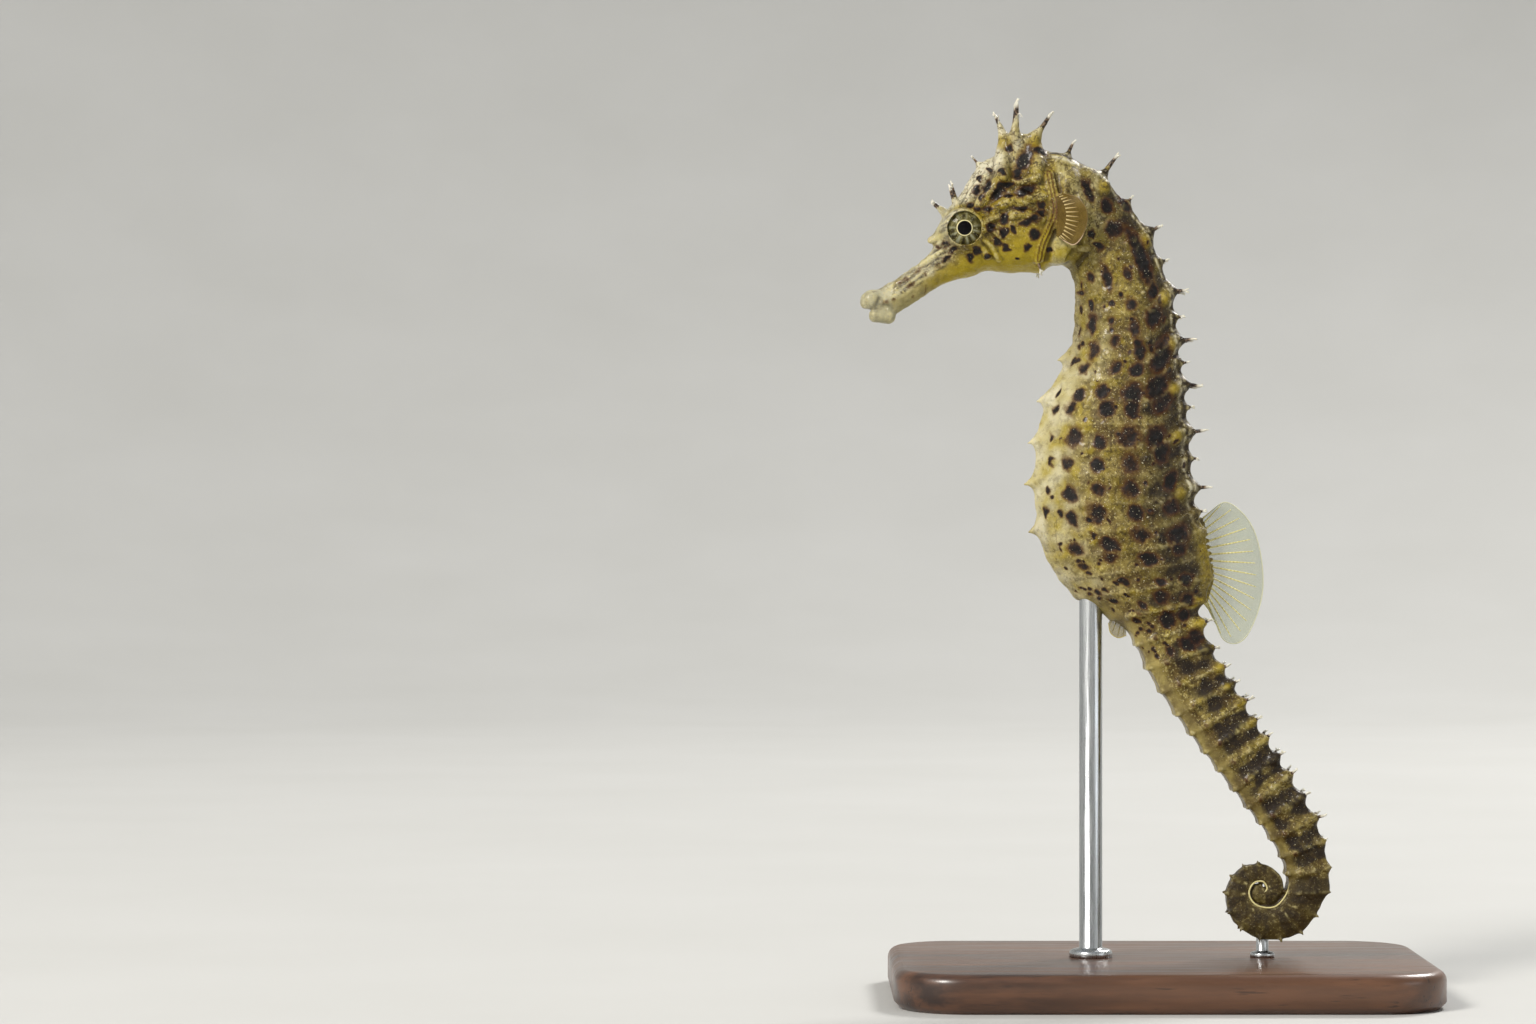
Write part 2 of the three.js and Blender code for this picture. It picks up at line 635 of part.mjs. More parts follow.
// A pectoral fin: a short fan behind the gill cover, flaring away from the body.
function makePectoralFin(side) {
  const FLARE = 0.32;
  const root = curveThrough([[0, 0, 2.5], [0.15, 0, 0], [0, 0, -2.6]]);
  const edge = curveThrough([
    [0.6, 0, 2.9], [2.6, 0, 2.2], [3.7, 0, 0.2], [3.3, 0, -2.2], [2.0, 0, -3.7], [0.5, 0, -3.1],
  ]);
  const geometry = fan((t) => root.getPointAt(t), (t) => edge.getPointAt(t), Y.clone(), 10, 2);
  geometry.rotateZ(side * FLARE);
  geometry.translate(-13.4, side * 4.95, 101.0);
  return geometry;
}

// The tiny anal fin, folded back under the end of the trunk.
function makeAnalFin() {
  const root = curveThrough([[-5.8, 0, 48.15], [-4.9, 0, 47.4]]);
  const edge = curveThrough([[-6.4, 0, 47.6], [-6.2, 0, 46.7], [-5.2, 0, 46.5]]);
  return fan((t) => root.getPointAt(t), (t) => edge.getPointAt(t), Y.clone(), 3, 1);
}

// ---------------------------------------------------------------- stand

// A flat plate with round corners and softened edges, bored for the two rods.
function makeBase() {
  const [a, b, r] = [BASE.length / 2 - BASE.bevel, BASE.width / 2 - BASE.bevel, BASE.corner - BASE.bevel];
  const shape = new THREE.Shape();
  shape.moveTo(-a + r, -b);
  shape.lineTo(a - r, -b).absarc(a - r, -b + r, r, -Math.PI / 2, 0, false);
  shape.lineTo(a, b - r).absarc(a - r, b - r, r, 0, Math.PI / 2, false);
  shape.lineTo(-a + r, b).absarc(-a + r, b - r, r, Math.PI / 2, Math.PI, false);
  shape.lineTo(-a, -b + r).absarc(-a + r, -b + r, r, Math.PI, 1.5 * Math.PI, false);
  const plate = new THREE.ExtrudeGeometry(shape, {
    depth: BASE.height - 2 * BASE.bevel,
    bevelThickness: BASE.bevel,
    bevelSize: BASE.bevel,
    bevelSegments: 1,
    curveSegments: 5,
  });
  plate.translate(0, 0, BASE.bevel);
  let body = solid(plate);
  for (const { x, radius, foot } of [ROD, PIN]) {
    const low = new THREE.Vector3(x, 0, foot - GAP);
    const high = new THREE.Vector3(x, 0, BASE.height + 1);
    body = body.subtract(taper(low, high, radius + GAP, radius + GAP, 12));
  }
  return geometryOf(body);
}

// An upright rod with a collar just above the base and a rounded top.
function makeRod({ x, radius, foot, collar, collarHeight }, top) {
  const low = BASE.height + GAP;
  const profile = [
    [0, foot], [radius, foot], [radius, low], [collar, low], [collar, low + collarHeight * 0.6],
    [radius + 0.2, low + collarHeight], [radius, low + collarHeight], [radius, top - radius * 0.3],
    [radius * 0.6, top], [0, top],
  ];
  const geometry = new THREE.LatheGeometry(profile.map(([r, z]) => new THREE.Vector2(r, z)), 12);
  return geometryOf(solid(geometry.rotateX(Math.PI / 2).translate(x, 0, 0)));
}

// ---------------------------------------------------------------- the model

const seahorse = new THREE.Group();
seahorse.add(
  named('snout', makeSnout(), FINISH.snout),
  named('head', makeHead(), FINISH.skin),
  named('coronet', makeCoronet(), FINISH.skin),
  named('eye_left', makeEye(-1), FINISH.eye),
  named('eye_right', makeEye(1), FINISH.eye),
  ...RINGED_NODES.map(makeRinged),
  named('dorsal_fin', makeDorsalFin(), FINISH.fin),
  named('pectoral_fin_left', makePectoralFin(-1), FINISH.fin),
  named('pectoral_fin_right', makePectoralFin(1), FINISH.fin),
  named('anal_fin', makeAnalFin(), FINISH.fin),
  named('stand_base', makeBase(), FINISH.wood),
  named('stand_rod', makeRod(ROD, rodTop), FINISH.steel),
  named('stand_pin', makeRod(PIN, pinTop), FINISH.steel),
);

export default seahorse;
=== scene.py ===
import math
from collections import namedtuple

import bpy
import numpy as np
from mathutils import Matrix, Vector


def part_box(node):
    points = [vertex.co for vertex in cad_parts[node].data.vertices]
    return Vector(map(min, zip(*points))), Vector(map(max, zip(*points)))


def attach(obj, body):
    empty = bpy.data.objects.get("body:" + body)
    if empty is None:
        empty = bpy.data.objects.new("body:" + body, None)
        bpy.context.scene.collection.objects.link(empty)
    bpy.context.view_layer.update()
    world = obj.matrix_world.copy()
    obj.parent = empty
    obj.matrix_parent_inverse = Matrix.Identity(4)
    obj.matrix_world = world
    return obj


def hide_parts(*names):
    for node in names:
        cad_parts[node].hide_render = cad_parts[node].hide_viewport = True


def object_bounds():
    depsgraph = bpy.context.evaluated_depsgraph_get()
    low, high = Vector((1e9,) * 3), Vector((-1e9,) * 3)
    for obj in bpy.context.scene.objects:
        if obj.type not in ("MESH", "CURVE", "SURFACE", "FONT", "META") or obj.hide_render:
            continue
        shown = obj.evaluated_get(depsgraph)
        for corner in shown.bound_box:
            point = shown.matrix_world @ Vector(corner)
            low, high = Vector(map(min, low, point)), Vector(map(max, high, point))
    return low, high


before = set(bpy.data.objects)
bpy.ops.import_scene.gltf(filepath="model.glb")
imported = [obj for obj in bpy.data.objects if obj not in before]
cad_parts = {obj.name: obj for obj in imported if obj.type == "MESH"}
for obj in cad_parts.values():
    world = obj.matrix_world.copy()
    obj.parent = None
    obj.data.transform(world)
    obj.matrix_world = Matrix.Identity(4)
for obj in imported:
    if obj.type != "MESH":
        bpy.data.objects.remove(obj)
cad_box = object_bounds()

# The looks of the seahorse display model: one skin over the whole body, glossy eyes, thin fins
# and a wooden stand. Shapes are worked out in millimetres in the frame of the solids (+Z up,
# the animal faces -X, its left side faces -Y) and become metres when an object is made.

import openvdb
from mathutils import Vector, kdtree, noise

MM = 0.001
SEED = 7
SIDES = (-1, 1)

# ---------------------------------------------------------------- the line of the body, as in the solids

# Cross-sections from the mouth to the last straight of the tail: back edge x and z, belly edge
# x and z, half the width, and the height of the widest line (0 belly, 1 back).
STATIONS = (
    (-36.9, 91.6, -34.8, 88.3, 1.6, 0.5),
    (-34.1, 93.3, -32.0, 90.0, 1.5, 0.5),
    (-31.0, 95.5, -28.8, 92.1, 1.65, 0.5),
    (-29.5, 97.3, -26.5, 93.0, 2.1, 0.5),
    (-28.6, 100.3, -24.4, 93.5, 3.1, 0.5),
    (-27.3, 102.6, -22.5, 94.2, 3.8, 0.5),
    (-26.0, 104.1, -19.9, 93.9, 4.1, 0.5),
    (-23.4, 108.0, -17.0, 94.0, 4.3, 0.5),
    (-19.9, 109.6, -15.5, 93.9, 4.4, 0.52),
    (-14.9, 109.9, -14.3, 94.7, 4.2, 0.55),
    (-9.1, 107.8, -13.1, 94.9, 3.9, 0.62),
    (-5.1, 103.9, -12.4, 94.6, 3.7, 0.66),
    (-2.1, 99.8, -11.7, 93.9, 3.6, 0.7),
    (0.0, 95.3, -11.2, 92.0, 3.8, 0.7),
    (1.6, 90.0, -11.2, 89.4, 4.2, 0.7),
    (2.3, 83.8, -11.8, 83.8, 4.8, 0.7),
    (3.1, 77.4, -14.9, 77.4, 5.6, 0.7),
    (3.7, 70.9, -16.2, 70.9, 6.2, 0.7),
    (4.3, 64.4, -16.4, 64.4, 6.4, 0.7),
    (5.6, 60.0, -15.2, 57.6, 6.2, 0.7),
    (6.4, 55.0, -11.7, 52.2, 5.3, 0.68),
    (5.7, 51.7, -7.0, 49.2, 4.5, 0.62),
    (4.9, 49.4, -4.0, 46.6, 3.9, 0.56),
    (6.8, 44.2, -1.2, 41.5, 3.6, 0.5),
    (9.4, 40.0, 2.5, 35.9, 3.5, 0.5),
    (12.6, 34.6, 6.6, 30.5, 3.25, 0.5),
    (16.1, 29.2, 10.9, 25.0, 3.0, 0.5),
    (19.2, 24.2, 13.8, 21.2, 2.75, 0.5),
    (21.0, 20.1, 15.7, 18.0, 2.5, 0.5),
    (21.8, 16.0, 16.4, 15.4, 2.4, 0.5),
)
# The coil: its centre, and the radii of its outer and inner edges at each quarter turn.
# The turns of the skin lie closer together than those of the solids.
COIL_X, COIL_Z = 13.26, 13.44
COIL_OUTER = (8.35, 6.1, 4.75, 3.7, 2.74, 1.64, 1.58, 1.2)
COIL_INNER = (2.92, 1.8, 1.74, 1.4, 0.1, -0.6, -0.6, -0.5)
COIL_WIDTH = 0.87

# Distances along the middle of the body count from the gill edge, which is this station.
GILL_EDGE = 9
# Rings: distance of the first, the pitch at some distances, how far the last keeps off the tip,
# and how much lower on the flanks than on the back those of the trunk lie, up to a rise.
FIRST_CREST = 1.7
RING_PITCH = np.array(
    [(27, 2.9), (38, 3.75), (43, 3.4), (62, 3.4), (70, 2.92), (97, 2.92), (103, 1.9), (112, 1.7), (125, 0.7)]
)
BARE_TIP = 0.6
RING_TILT = 2.2
TILT_ABOVE = 0.72
# The ridges, with their width shares and heights (-1 belly, 1 back) on the trunk and on the tail.
# The lateral ridge runs at the widest line.
RIDGES = ("keel", "inferior", "lateral", "superior", "back")
RIDGE_WIDTHS = np.array([(0, 0.8, 1, 0.5, 0), (0, 0.8, 1, 0.8, 0)])
RIDGE_HEIGHTS = np.array([(-1, -0.42, 0, 1, 0.95), (-0.96, -0.95, 0, 0.96, 0.97)])
# Stations: the trunk passes into the tail, and the stretch that carries the dorsal fin.
VENT, TAIL = 19.5, 23
DORSAL_FIN = (18.55, 21.25)
DORSAL_RAYS = 18


def smoothstep(low, high, value):
    t = np.clip((value - low) / (high - low), 0, 1)
    return t * t * (3 - 2 * t)


def bell(distance, width):
    return np.exp(-((distance / width) ** 2))


def spline(before, here, there, after, t):
    """Value and slope of a smooth curve at a share t of the way from here to there."""
    leave = (there - before) / 2
    arrive = (after - here) / 2
    cubic = 2 * here - 2 * there + leave + arrive
    square = 3 * there - 3 * here - 2 * leave - arrive
    value = ((cubic * t + square) * t + leave) * t + here
    slope = (3 * cubic * t + 2 * square) * t + leave
    return value, slope


def catmull_rom(rows, places):
    """Values and slopes of the spline through rows, at fractional row numbers."""
    rows = np.asarray(rows, float)
    ends = np.vstack([2 * rows[0] - rows[1], rows, 2 * rows[-1] - rows[-2]])
    places = np.atleast_1d(np.asarray(places, float))
    i = np.clip(np.floor(places).astype(int), 0, len(rows) - 2)
    return spline(ends[i], ends[i + 1], ends[i + 2], ends[i + 3], (places - i)[:, None])


def smooth_line(points, steps=6):
    """More points along a smooth curve through the given ones."""
    return catmull_rom(points, np.linspace(0, len(points) - 1, steps * (len(points) - 1) + 1))[0]


def coil_rows():
    """Sections of the coil at every eighth of a turn, in the same form as STATIONS."""
    eighths = np.arange(2 * len(COIL_OUTER) - 1)
    outer, inner = catmull_rom(np.column_stack([COIL_OUTER, COIL_INNER]), eighths / 2)[0].T
    angle = -eighths * math.pi / 4
    return np.column_stack([
        COIL_X + outer * np.cos(angle),
        COIL_Z + outer * np.sin(angle),
        COIL_X + inner * np.cos(angle),
        COIL_Z + inner * np.sin(angle),
        COIL_WIDTH * (outer - inner) / 2,
        np.full(len(angle), 0.5),
    ])


ROWS = np.vstack([STATIONS, coil_rows()])
LAST = len(ROWS) - 1


def section_at(station):
    """Rows like those of STATIONS, at one station or many."""
    return catmull_rom(ROWS, station)[0]


def places_in(stations, heights, sideways=0.0):
    """Points at a height or heights, from -1 (belly) to 1 (back), of the sections at stations."""
    row = section_at(stations)
    share = ((np.asarray(heights) + 1) / 2)[..., None]
    flat = row[:, 2:4] + share * (row[:, :2] - row[:, 2:4])
    return np.column_stack([flat[:, 0], np.broadcast_to(sideways, len(flat)), flat[:, 1]])


def place_in(station, height, sideways=0.0):
    return places_in(station, height, sideways)[0]


def unit(way):
    return way / np.linalg.norm(way)


LINE = np.linspace(0, LAST, LAST * 24 + 1)
STEPS = np.linalg.norm(np.diff(places_in(LINE, 0.0), axis=0), axis=1)
TRAVELLED = np.concatenate([[0], np.cumsum(STEPS)])
DISTANCE = TRAVELLED - np.interp(GILL_EDGE, LINE, TRAVELLED)


def station_at(distance):
    return np.interp(distance, DISTANCE, LINE)


def pitch_at(distance):
    return np.interp(distance, RING_PITCH[:, 0], RING_PITCH[:, 1])


def ring_crests():
    crests = []
    place = FIRST_CREST
    while place < DISTANCE[-1] - BARE_TIP:
        crests.append(place)
        place += pitch_at(place)
    return np.array(crests)


CRESTS = ring_crests()


def ring_place(distance, rise):
    """Distance of the ring line through a point of the side, at a rise from 0 belly to 1 back."""
    trunk = smoothstep(8, 16, distance) * smoothstep(56, 46, distance)
    return distance - RING_TILT * trunk * smoothstep(1.0, TILT_ABOVE, rise)


def ring_phase(place):
    """Number of the nearest ring, and how far its crest is, in millimetres."""
    count = np.interp(place, CRESTS, np.arange(len(CRESTS)))
    ring = np.round(count)
    before = np.minimum(place - CRESTS[0], 0)
    return ring, (count - ring) * pitch_at(place) + before


def ridge_lines(station):
    """Width share and height (-1 to 1) of each of the RIDGES."""
    tail = smoothstep(VENT, TAIL, np.atleast_1d(station))[:, None]
    widths, heights = (trunk + (end - trunk) * tail for trunk, end in (RIDGE_WIDTHS, RIDGE_HEIGHTS))
    heights[:, RIDGES.index("lateral")] = 2 * section_at(station)[:, 5] - 1
    return widths, heights


def on_ridge(distance, ridge, side):
    """The point where a ring crosses a ridge, and the direction out of the body there."""
    station = station_at(distance)
    number = RIDGES.index(ridge)
    widths, heights = ridge_lines(station)
    half = section_at(station)[0, 4]
    point = place_in(station, heights[0, number], side * half * widths[0, number])
    return point, unit(point - place_in(station, 0.05))


# ---------------------------------------------------------------- a volume that joins rounded shapes

# Size of a cell, and how many cells to each side of the surface hold true distances.
VOXEL = 0.18
BAND = 5


def smooth_min(a, b, blend):
    h = np.maximum(blend - np.abs(a - b), 0) / blend
    return np.minimum(a, b) - h * h * blend / 4


def capsule(start, end, start_radius, end_radius):
    """A rod with round ends between two points, as its corners and its distance function."""
    start, end = np.asarray(start, float), np.asarray(end, float)
    axis = end - start
    reach = max(start_radius, end_radius)

    def distance(x, y, z):
        dx, dy, dz = x - start[0], y - start[1], z - start[2]
        t = np.clip((dx * axis[0] + dy * axis[1] + dz * axis[2]) / (axis @ axis), 0, 1)
        off = np.sqrt((dx - t * axis[0]) ** 2 + (dy - t * axis[1]) ** 2 + (dz - t * axis[2]) ** 2)
        return off - (start_radius + (end_radius - start_radius) * t)

    return np.minimum(start, end) - reach, np.maximum(start, end) + reach, distance


def egg(centre, halves, tilt=0.0):
    """An ellipsoid with its first axis tilted up from +X by an angle."""
    centre, halves = np.asarray(centre, float), np.asarray(halves, float)
    c, s = math.cos(tilt), math.sin(tilt)

    def distance(x, y, z):
        dx, dy, dz = x - centre[0], y - centre[1], z - centre[2]
        a, b, d = (c * dx + s * dz) / halves[0], dy / halves[1], (c * dz - s * dx) / halves[2]
        scaled = np.sqrt(a * a + b * b + d * d)
        slope = np.sqrt((a / halves[0]) ** 2 + (b / halves[1]) ** 2 + (d / halves[2]) ** 2)
        return scaled * (scaled - 1) / np.maximum(slope, 1e-6)

    return centre - halves.max(), centre + halves.max(), distance


def hoop(centre, radius, thickness):
    """A ring round an axis along Y."""
    centre = np.asarray(centre, float)
    reach = np.array([radius + thickness, thickness, radius + thickness])

    def distance(x, y, z):
        flat = np.sqrt((x - centre[0]) ** 2 + (z - centre[2]) ** 2) - radius
        return np.sqrt(flat ** 2 + (y - centre[1]) ** 2) - thickness

    return centre - reach, centre + reach, distance


class Volume:
    """Signed distances on a regular grid, negative inside the animal."""

    def __init__(self, low, high, points, quads, triangles):
        self.low = np.asarray(low, float)
        shape = np.ceil((np.asarray(high) - self.low) / VOXEL).astype(int) + 1
        grid = openvdb.FloatGrid.createLevelSetFromPolygons(
            (points - self.low).astype(np.float32),
            triangles=triangles.astype(np.uint32),
            quads=quads.astype(np.uint32),
            transform=openvdb.createLinearTransform(VOXEL),
            halfWidth=BAND,
        )
        self.field = np.empty(shape, np.float32)
        grid.copyToArray(self.field)

    def blend_in(self, shape, blend, sign):
        low, high, distance = shape
        first = np.clip(((low - blend - self.low) / VOXEL).astype(int), 0, None)
        last = np.minimum(((high + blend - self.low) / VOXEL).astype(int) + 2, self.field.shape)
        block = tuple(slice(a, b) for a, b in zip(first, last))
        axes = [self.low[i] + VOXEL * np.arange(first[i], last[i]) for i in range(3)]
        x, y, z = np.meshgrid(*axes, indexing="ij", sparse=True)
        self.field[block] = sign * smooth_min(sign * self.field[block], distance(x, y, z), blend)

    def join(self, shape, blend):
        self.blend_in(shape, blend, 1)

    def carve(self, shape, blend):
        self.blend_in(shape, blend, -1)

    def side_at(self, x, z):
        """How far the left or right surface is from the middle plane at x, z."""
        i, k = [int(round(v)) for v in ((x - self.low[0]) / VOXEL, (z - self.low[2]) / VOXEL)]
        column = self.field[i, :, k]
        inside = np.nonzero(column < 0)[0]
        if len(inside) == 0:
            return 0.0
        j = inside[-1]
        part = column[j] / (column[j] - column[j + 1])
        return self.low[1] + VOXEL * (j + part)

    def surface(self):
        grid = openvdb.FloatGrid(BAND * VOXEL)
        grid.copyFromArray(self.field)
        grid.transform = openvdb.createLinearTransform(VOXEL)
        points, quads = grid.convertToQuads()
        return points.astype(float) + self.low, quads.astype(int)


def grain(points, size, seed):
    """Smooth random values from -1 to 1 that change over a given size in millimetres."""
    scaled = (points / size + (seed * 7.3, seed * 3.1, seed * 5.7)).tolist()
    return np.array([noise.noise(p) for p in scaled])


# ---------------------------------------------------------------- the body as a fine loft

# Distance from one section to the next, and points from one ridge to the next.
LOFT_STEP = 0.16
SIDE_SAMPLES = 18
# How far the plates bulge between ridges (0 flat), and how much narrower the head is on top.
ROUNDNESS = 0.6
HEAD_NARROWING = 0.35
# Stations between which the oval head passes into the ringed body.
HEAD_TO_BODY = (8.2, 11.5)
# Heights of the relief in millimetres. Those of crests and plates are for the trunk, with what
# the straight tail adds and the coil takes away.
CREST_HEIGHT = (0.11, 0.06, -0.17)
PLATE_HEIGHT = (0.1, 0.04, -0.15)
# Knobs where rings meet ridges, overlapping tiles under the tail, and arcs of skin on the back.
KNOB_HEIGHT, TILE_HEIGHT, ARC_HEIGHT = 0.22, 0.34, 0.3
# How far the whole ringed body is sunk, so that its relief stands about the solids' surface.
SUNK = 0.1


def oval(row, depth, angle):
    """Head section: y and the height above the belly edge, in millimetres."""
    h = np.sin(angle)[None, :]
    half = row[:, 4:5]
    width = half * (1 - HEAD_NARROWING * np.maximum(h, 0) ** 2 * np.minimum(half / 4, 1))
    return width * np.cos(angle)[None, :], (h + 1) / 2 * depth[:, None]


def between_ridges(values):
    """Rounded steps from each ridge to the next, and on to the middle of the back."""
    share = np.arange(SIDE_SAMPLES) / SIDE_SAMPLES
    columns = []
    for i in range(1, len(RIDGES)):
        before, here, there, after = (values[:, i + k, None] for k in (-1, 0, 1, 2))
        curve, _ = spline(before, here, there, after, share)
        straight = here + (there - here) * share
        columns.append(ROUNDNESS * curve + (1 - ROUNDNESS) * straight)
    return np.hstack(columns + [values[:, -2:-1]])


def ridged(station, row, depth):
    """Ringed section: rounded plates between the ridges."""
    widths, heights = ridge_lines(station)
    y = widths * row[:, 4:5]
    t = (heights + 1) / 2 * depth[:, None]
    y = np.concatenate([-y[:, 1:2], y, -y[:, 3:4]], 1)
    t = np.concatenate([t[:, 1:2], t, t[:, 3:4]], 1)
    return between_ridges(y), between_ridges(t)


def relief_at(distance, rise, uneven, lumps):
    """How far rings, plates and ridges stand out, in millimetres."""
    place = ring_place(distance, rise)
    ring, off = ring_phase(place)
    pitch = pitch_at(place)
    head = smoothstep(1, -3, distance)
    ringed = smoothstep(1.0, 6.0, distance)
    trunk = ringed * smoothstep(57, 50, distance)
    tail = smoothstep(50, 62, distance)
    curl = smoothstep(97, 104, distance)
    slim = np.interp(distance, [97, 112, 125], [1, 0.6, 0.3])
    crest = bell(off, 0.42 - 0.12 * curl) * (1 + 0.6 * uneven)
    plate = np.cos(np.pi * off / pitch) ** 2
    crest_height, plate_height = (a + b * tail + c * curl for a, b, c in (CREST_HEIGHT, PLATE_HEIGHT))
    height = (crest_height * crest + plate_height * plate) * (1 - 0.7 * bell(rise - 0.02, 0.16))
    knobs = bell(rise - 0.3, 0.06) + bell(rise - 0.93, 0.08) + 0.6 * bell(rise - 0.62, 0.06)
    height += KNOB_HEIGHT * tail * (1 - curl) * bell(off, 0.5) * knobs
    # Plates overlap like tiles along the underside of the tail.
    tile = np.exp(-np.maximum(-off, 0) / 0.6) * (off < 0.25)
    height += TILE_HEIGHT * tail * (1 - curl) * bell(rise, 0.07) * tile
    # Along the back the skin hangs in arcs between the long spines, which every second ring has.
    to_long = np.where(np.mod(ring, 2) == 1, np.abs(off), pitch - np.abs(off))
    arc = ARC_HEIGHT * trunk * smoothstep(0.9, 1.0, rise) * (bell(to_long, 1.25) - 0.7)
    return ringed * slim * (height - SUNK) + arc + (0.05 + 0.04 * head) * lumps * slim


def loft_sections(station, row, depth):
    """Across and up of all points of each section: oval on the head, ridged behind it."""
    per_side = (len(RIDGES) - 1) * SIDE_SAMPLES + 1
    on_head = oval(row, depth, np.linspace(-math.pi / 2, math.pi / 2, per_side))
    on_body = ridged(station, row, depth)
    share = smoothstep(*HEAD_TO_BODY, station)[:, None]
    y, t = (a + (b - a) * share for a, b in zip(on_head, on_body))
    return np.hstack([y, -y[:, -2:0:-1]]), np.hstack([t, t[:, -2:0:-1]])


def body_loft():
    """Points, quads and end triangles of the whole body, with its rings in relief."""
    count = int((DISTANCE[-1] - DISTANCE[0]) / LOFT_STEP)
    distance = np.linspace(DISTANCE[0], DISTANCE[-1], count)
    station = station_at(distance)
    row = section_at(station)
    up = row[:, :2] - row[:, 2:4]
    depth = np.linalg.norm(up, axis=1)
    up /= depth[:, None]
    y, t = loft_sections(station, row, depth)
    points = np.stack([row[:, 2:3] + t * up[:, :1], y, row[:, 3:4] + t * up[:, 1:]], 2)

    along = np.gradient(points, axis=0)
    across = (np.roll(points, -1, 1) - np.roll(points, 1, 1)) / 2
    normal = np.cross(across, along)
    normal /= np.maximum(np.linalg.norm(normal, axis=2, keepdims=True), 1e-9)
    outward = np.sign(((points - points.mean(1, keepdims=True)) * normal).sum(2).mean())
    flat = points.reshape(-1, 3)
    uneven, lumps = (grain(flat, size, size).reshape(y.shape) for size in (1.7, 0.75))
    relief = relief_at(distance[:, None], t / depth[:, None], uneven, lumps)
    flat = (points + outward * normal * relief[..., None]).reshape(-1, 3)

    around = y.shape[1]
    index = np.arange(count * around).reshape(count, around)
    after = np.roll(index, -1, 1)
    quads = np.stack([index[:-1], after[:-1], after[1:], index[1:]], 2).reshape(-1, 4)
    ends = np.stack([flat[index[0]].mean(0), flat[index[-1]].mean(0)])
    start_cap = np.stack([np.full(around, len(flat)), after[0], index[0]], 1)
    end_cap = np.stack([np.full(around, len(flat) + 1), index[-1], after[-1]], 1)
    return np.vstack([flat, ends]), quads, np.vstack([start_cap, end_cap])


# ---------------------------------------------------------------- spines

# A spine: where it leaves the body, its direction out, its length and kind, and on the head how
# stout it is.
Spine = namedtuple("Spine", "point out length kind stout", defaults=[None])
# Lengths of the long and the short spines on each ridge. Every second ring has the long ones.
SPINES = {"superior": (2.1, 0.8), "lateral": (0.8, 0.3), "inferior": (0.7, 0.3)}
# On the tail a short spine is this share of a long one, and all spines shrink by the table.
TAIL_SPINES_FROM = 57
TAIL_SHORT_SHARE = 0.8
TAIL_SPINE_SHARE = np.array([(57, 1), (62, 0.75), (92, 0.75), (96, 0)])
SHORTEST = 0.1
# Stations where the back has no spines before, and the side ridges have none behind.
NAPE_END = 10.5
SIDE_SPINES_END = 21.5
# Nubs of the coil: first and last distance, and the length there.
NUB_REACH = (93, 119)
NUB_LENGTH = (0.6, 0.35)
# Thorns of the keel: first distance, distance between them, how many, length, and droop of the tip.
THORN_FIRST, THORN_PITCH, THORN_COUNT = 24.2, 5.45, 5
THORN_LENGTH, THORN_DROOP = 1.15, 0.3
# Spines of the head and nape, and the points of the coronet: root, tip, stoutness.
HEAD_SPINES = (
    ((-28.3, 1.3, 102.0), (-29.6, 1.8, 103.1), 0.5),
    ((-26.4, 2.6, 102.6), (-27.3, 3.3, 105.3), 0.6),
    ((-23.4, 0.0, 107.8), (-24.3, 0.0, 108.9), 0.5),
    ((-16.3, 3.2, 96.0), (-15.6, 3.3, 93.8), 0.5),
    ((-12.2, 0.9, 108.8), (-11.3, 1.2, 111.0), 0.6),
    ((-7.6, 1.0, 106.4), (-5.5, 1.4, 109.4), 0.8),
)
CORONET_SPINES = (
    ((-20.2, 0.0, 111.4), (-21.5, 0.0, 114.8), 0.8),
    ((-19.0, 1.3, 111.4), (-18.5, 1.9, 116.0), 0.9),
    ((-16.4, 1.1, 111.4), (-14.1, 1.6, 114.5), 0.85),
)


def body_spines():
    """All spines on the ridges of the rings, both sides."""
    spines = []
    for ring, distance in enumerate(CRESTS):
        share = np.interp(distance, TAIL_SPINE_SHARE[:, 0], TAIL_SPINE_SHARE[:, 1])
        station = station_at(distance)
        no_back_spine = station < NAPE_END or DORSAL_FIN[0] < station < DORSAL_FIN[1]
        for ridge, (long, short) in SPINES.items():
            if distance > TAIL_SPINES_FROM:
                short = TAIL_SHORT_SHARE * long
            length = (long if ring % 2 else short) * share
            bare = no_back_spine if ridge == "superior" else station > SIDE_SPINES_END
            if not bare and length >= SHORTEST:
                spines += [Spine(*on_ridge(distance, ridge, side), length, ridge) for side in SIDES]
    return spines


def coil_nubs():
    """Small blunt nubs along the outer edge of the coiled end of the tail."""
    return [
        Spine(*on_ridge(distance, "superior", side), np.interp(distance, NUB_REACH, NUB_LENGTH), "nub")
        for distance in CRESTS[(CRESTS > NUB_REACH[0]) & (CRESTS < NUB_REACH[1])]
        for side in SIDES
    ]


def keel_thorns():
    """Pale thorns on the keel of the belly that hook slightly down."""
    thorns = []
    for i in range(THORN_COUNT):
        station = station_at(THORN_FIRST + i * THORN_PITCH)
        belly = place_in(station, -1.0)
        out = unit(belly - place_in(station, 1.0))
        tip = belly + out * THORN_LENGTH - (0, 0, THORN_DROOP)
        thorns.append(Spine(belly, unit(tip - belly), np.linalg.norm(tip - belly), "thorn"))
    return thorns


def both_sides(x, y, z):
    return [(x, side * y, z) for side in ((1,) if y == 0 else SIDES)]


def listed_spines(rows):
    spines = []
    for root, tip, stout in rows:
        for a, b in zip(both_sides(*root), both_sides(*tip)):
            way = np.subtract(b, a)
            spines.append(Spine(np.array(a), unit(way), np.linalg.norm(way), "head", stout))
    return spines


# ---------------------------------------------------------------- the skin's forms

# Room in the volume past the body, for spines and crown, at its low and at its high corner.
ROOM_BELOW, ROOM_ABOVE = (2.5, 3.5, 2.0), (2.5, 3.5, 7.5)


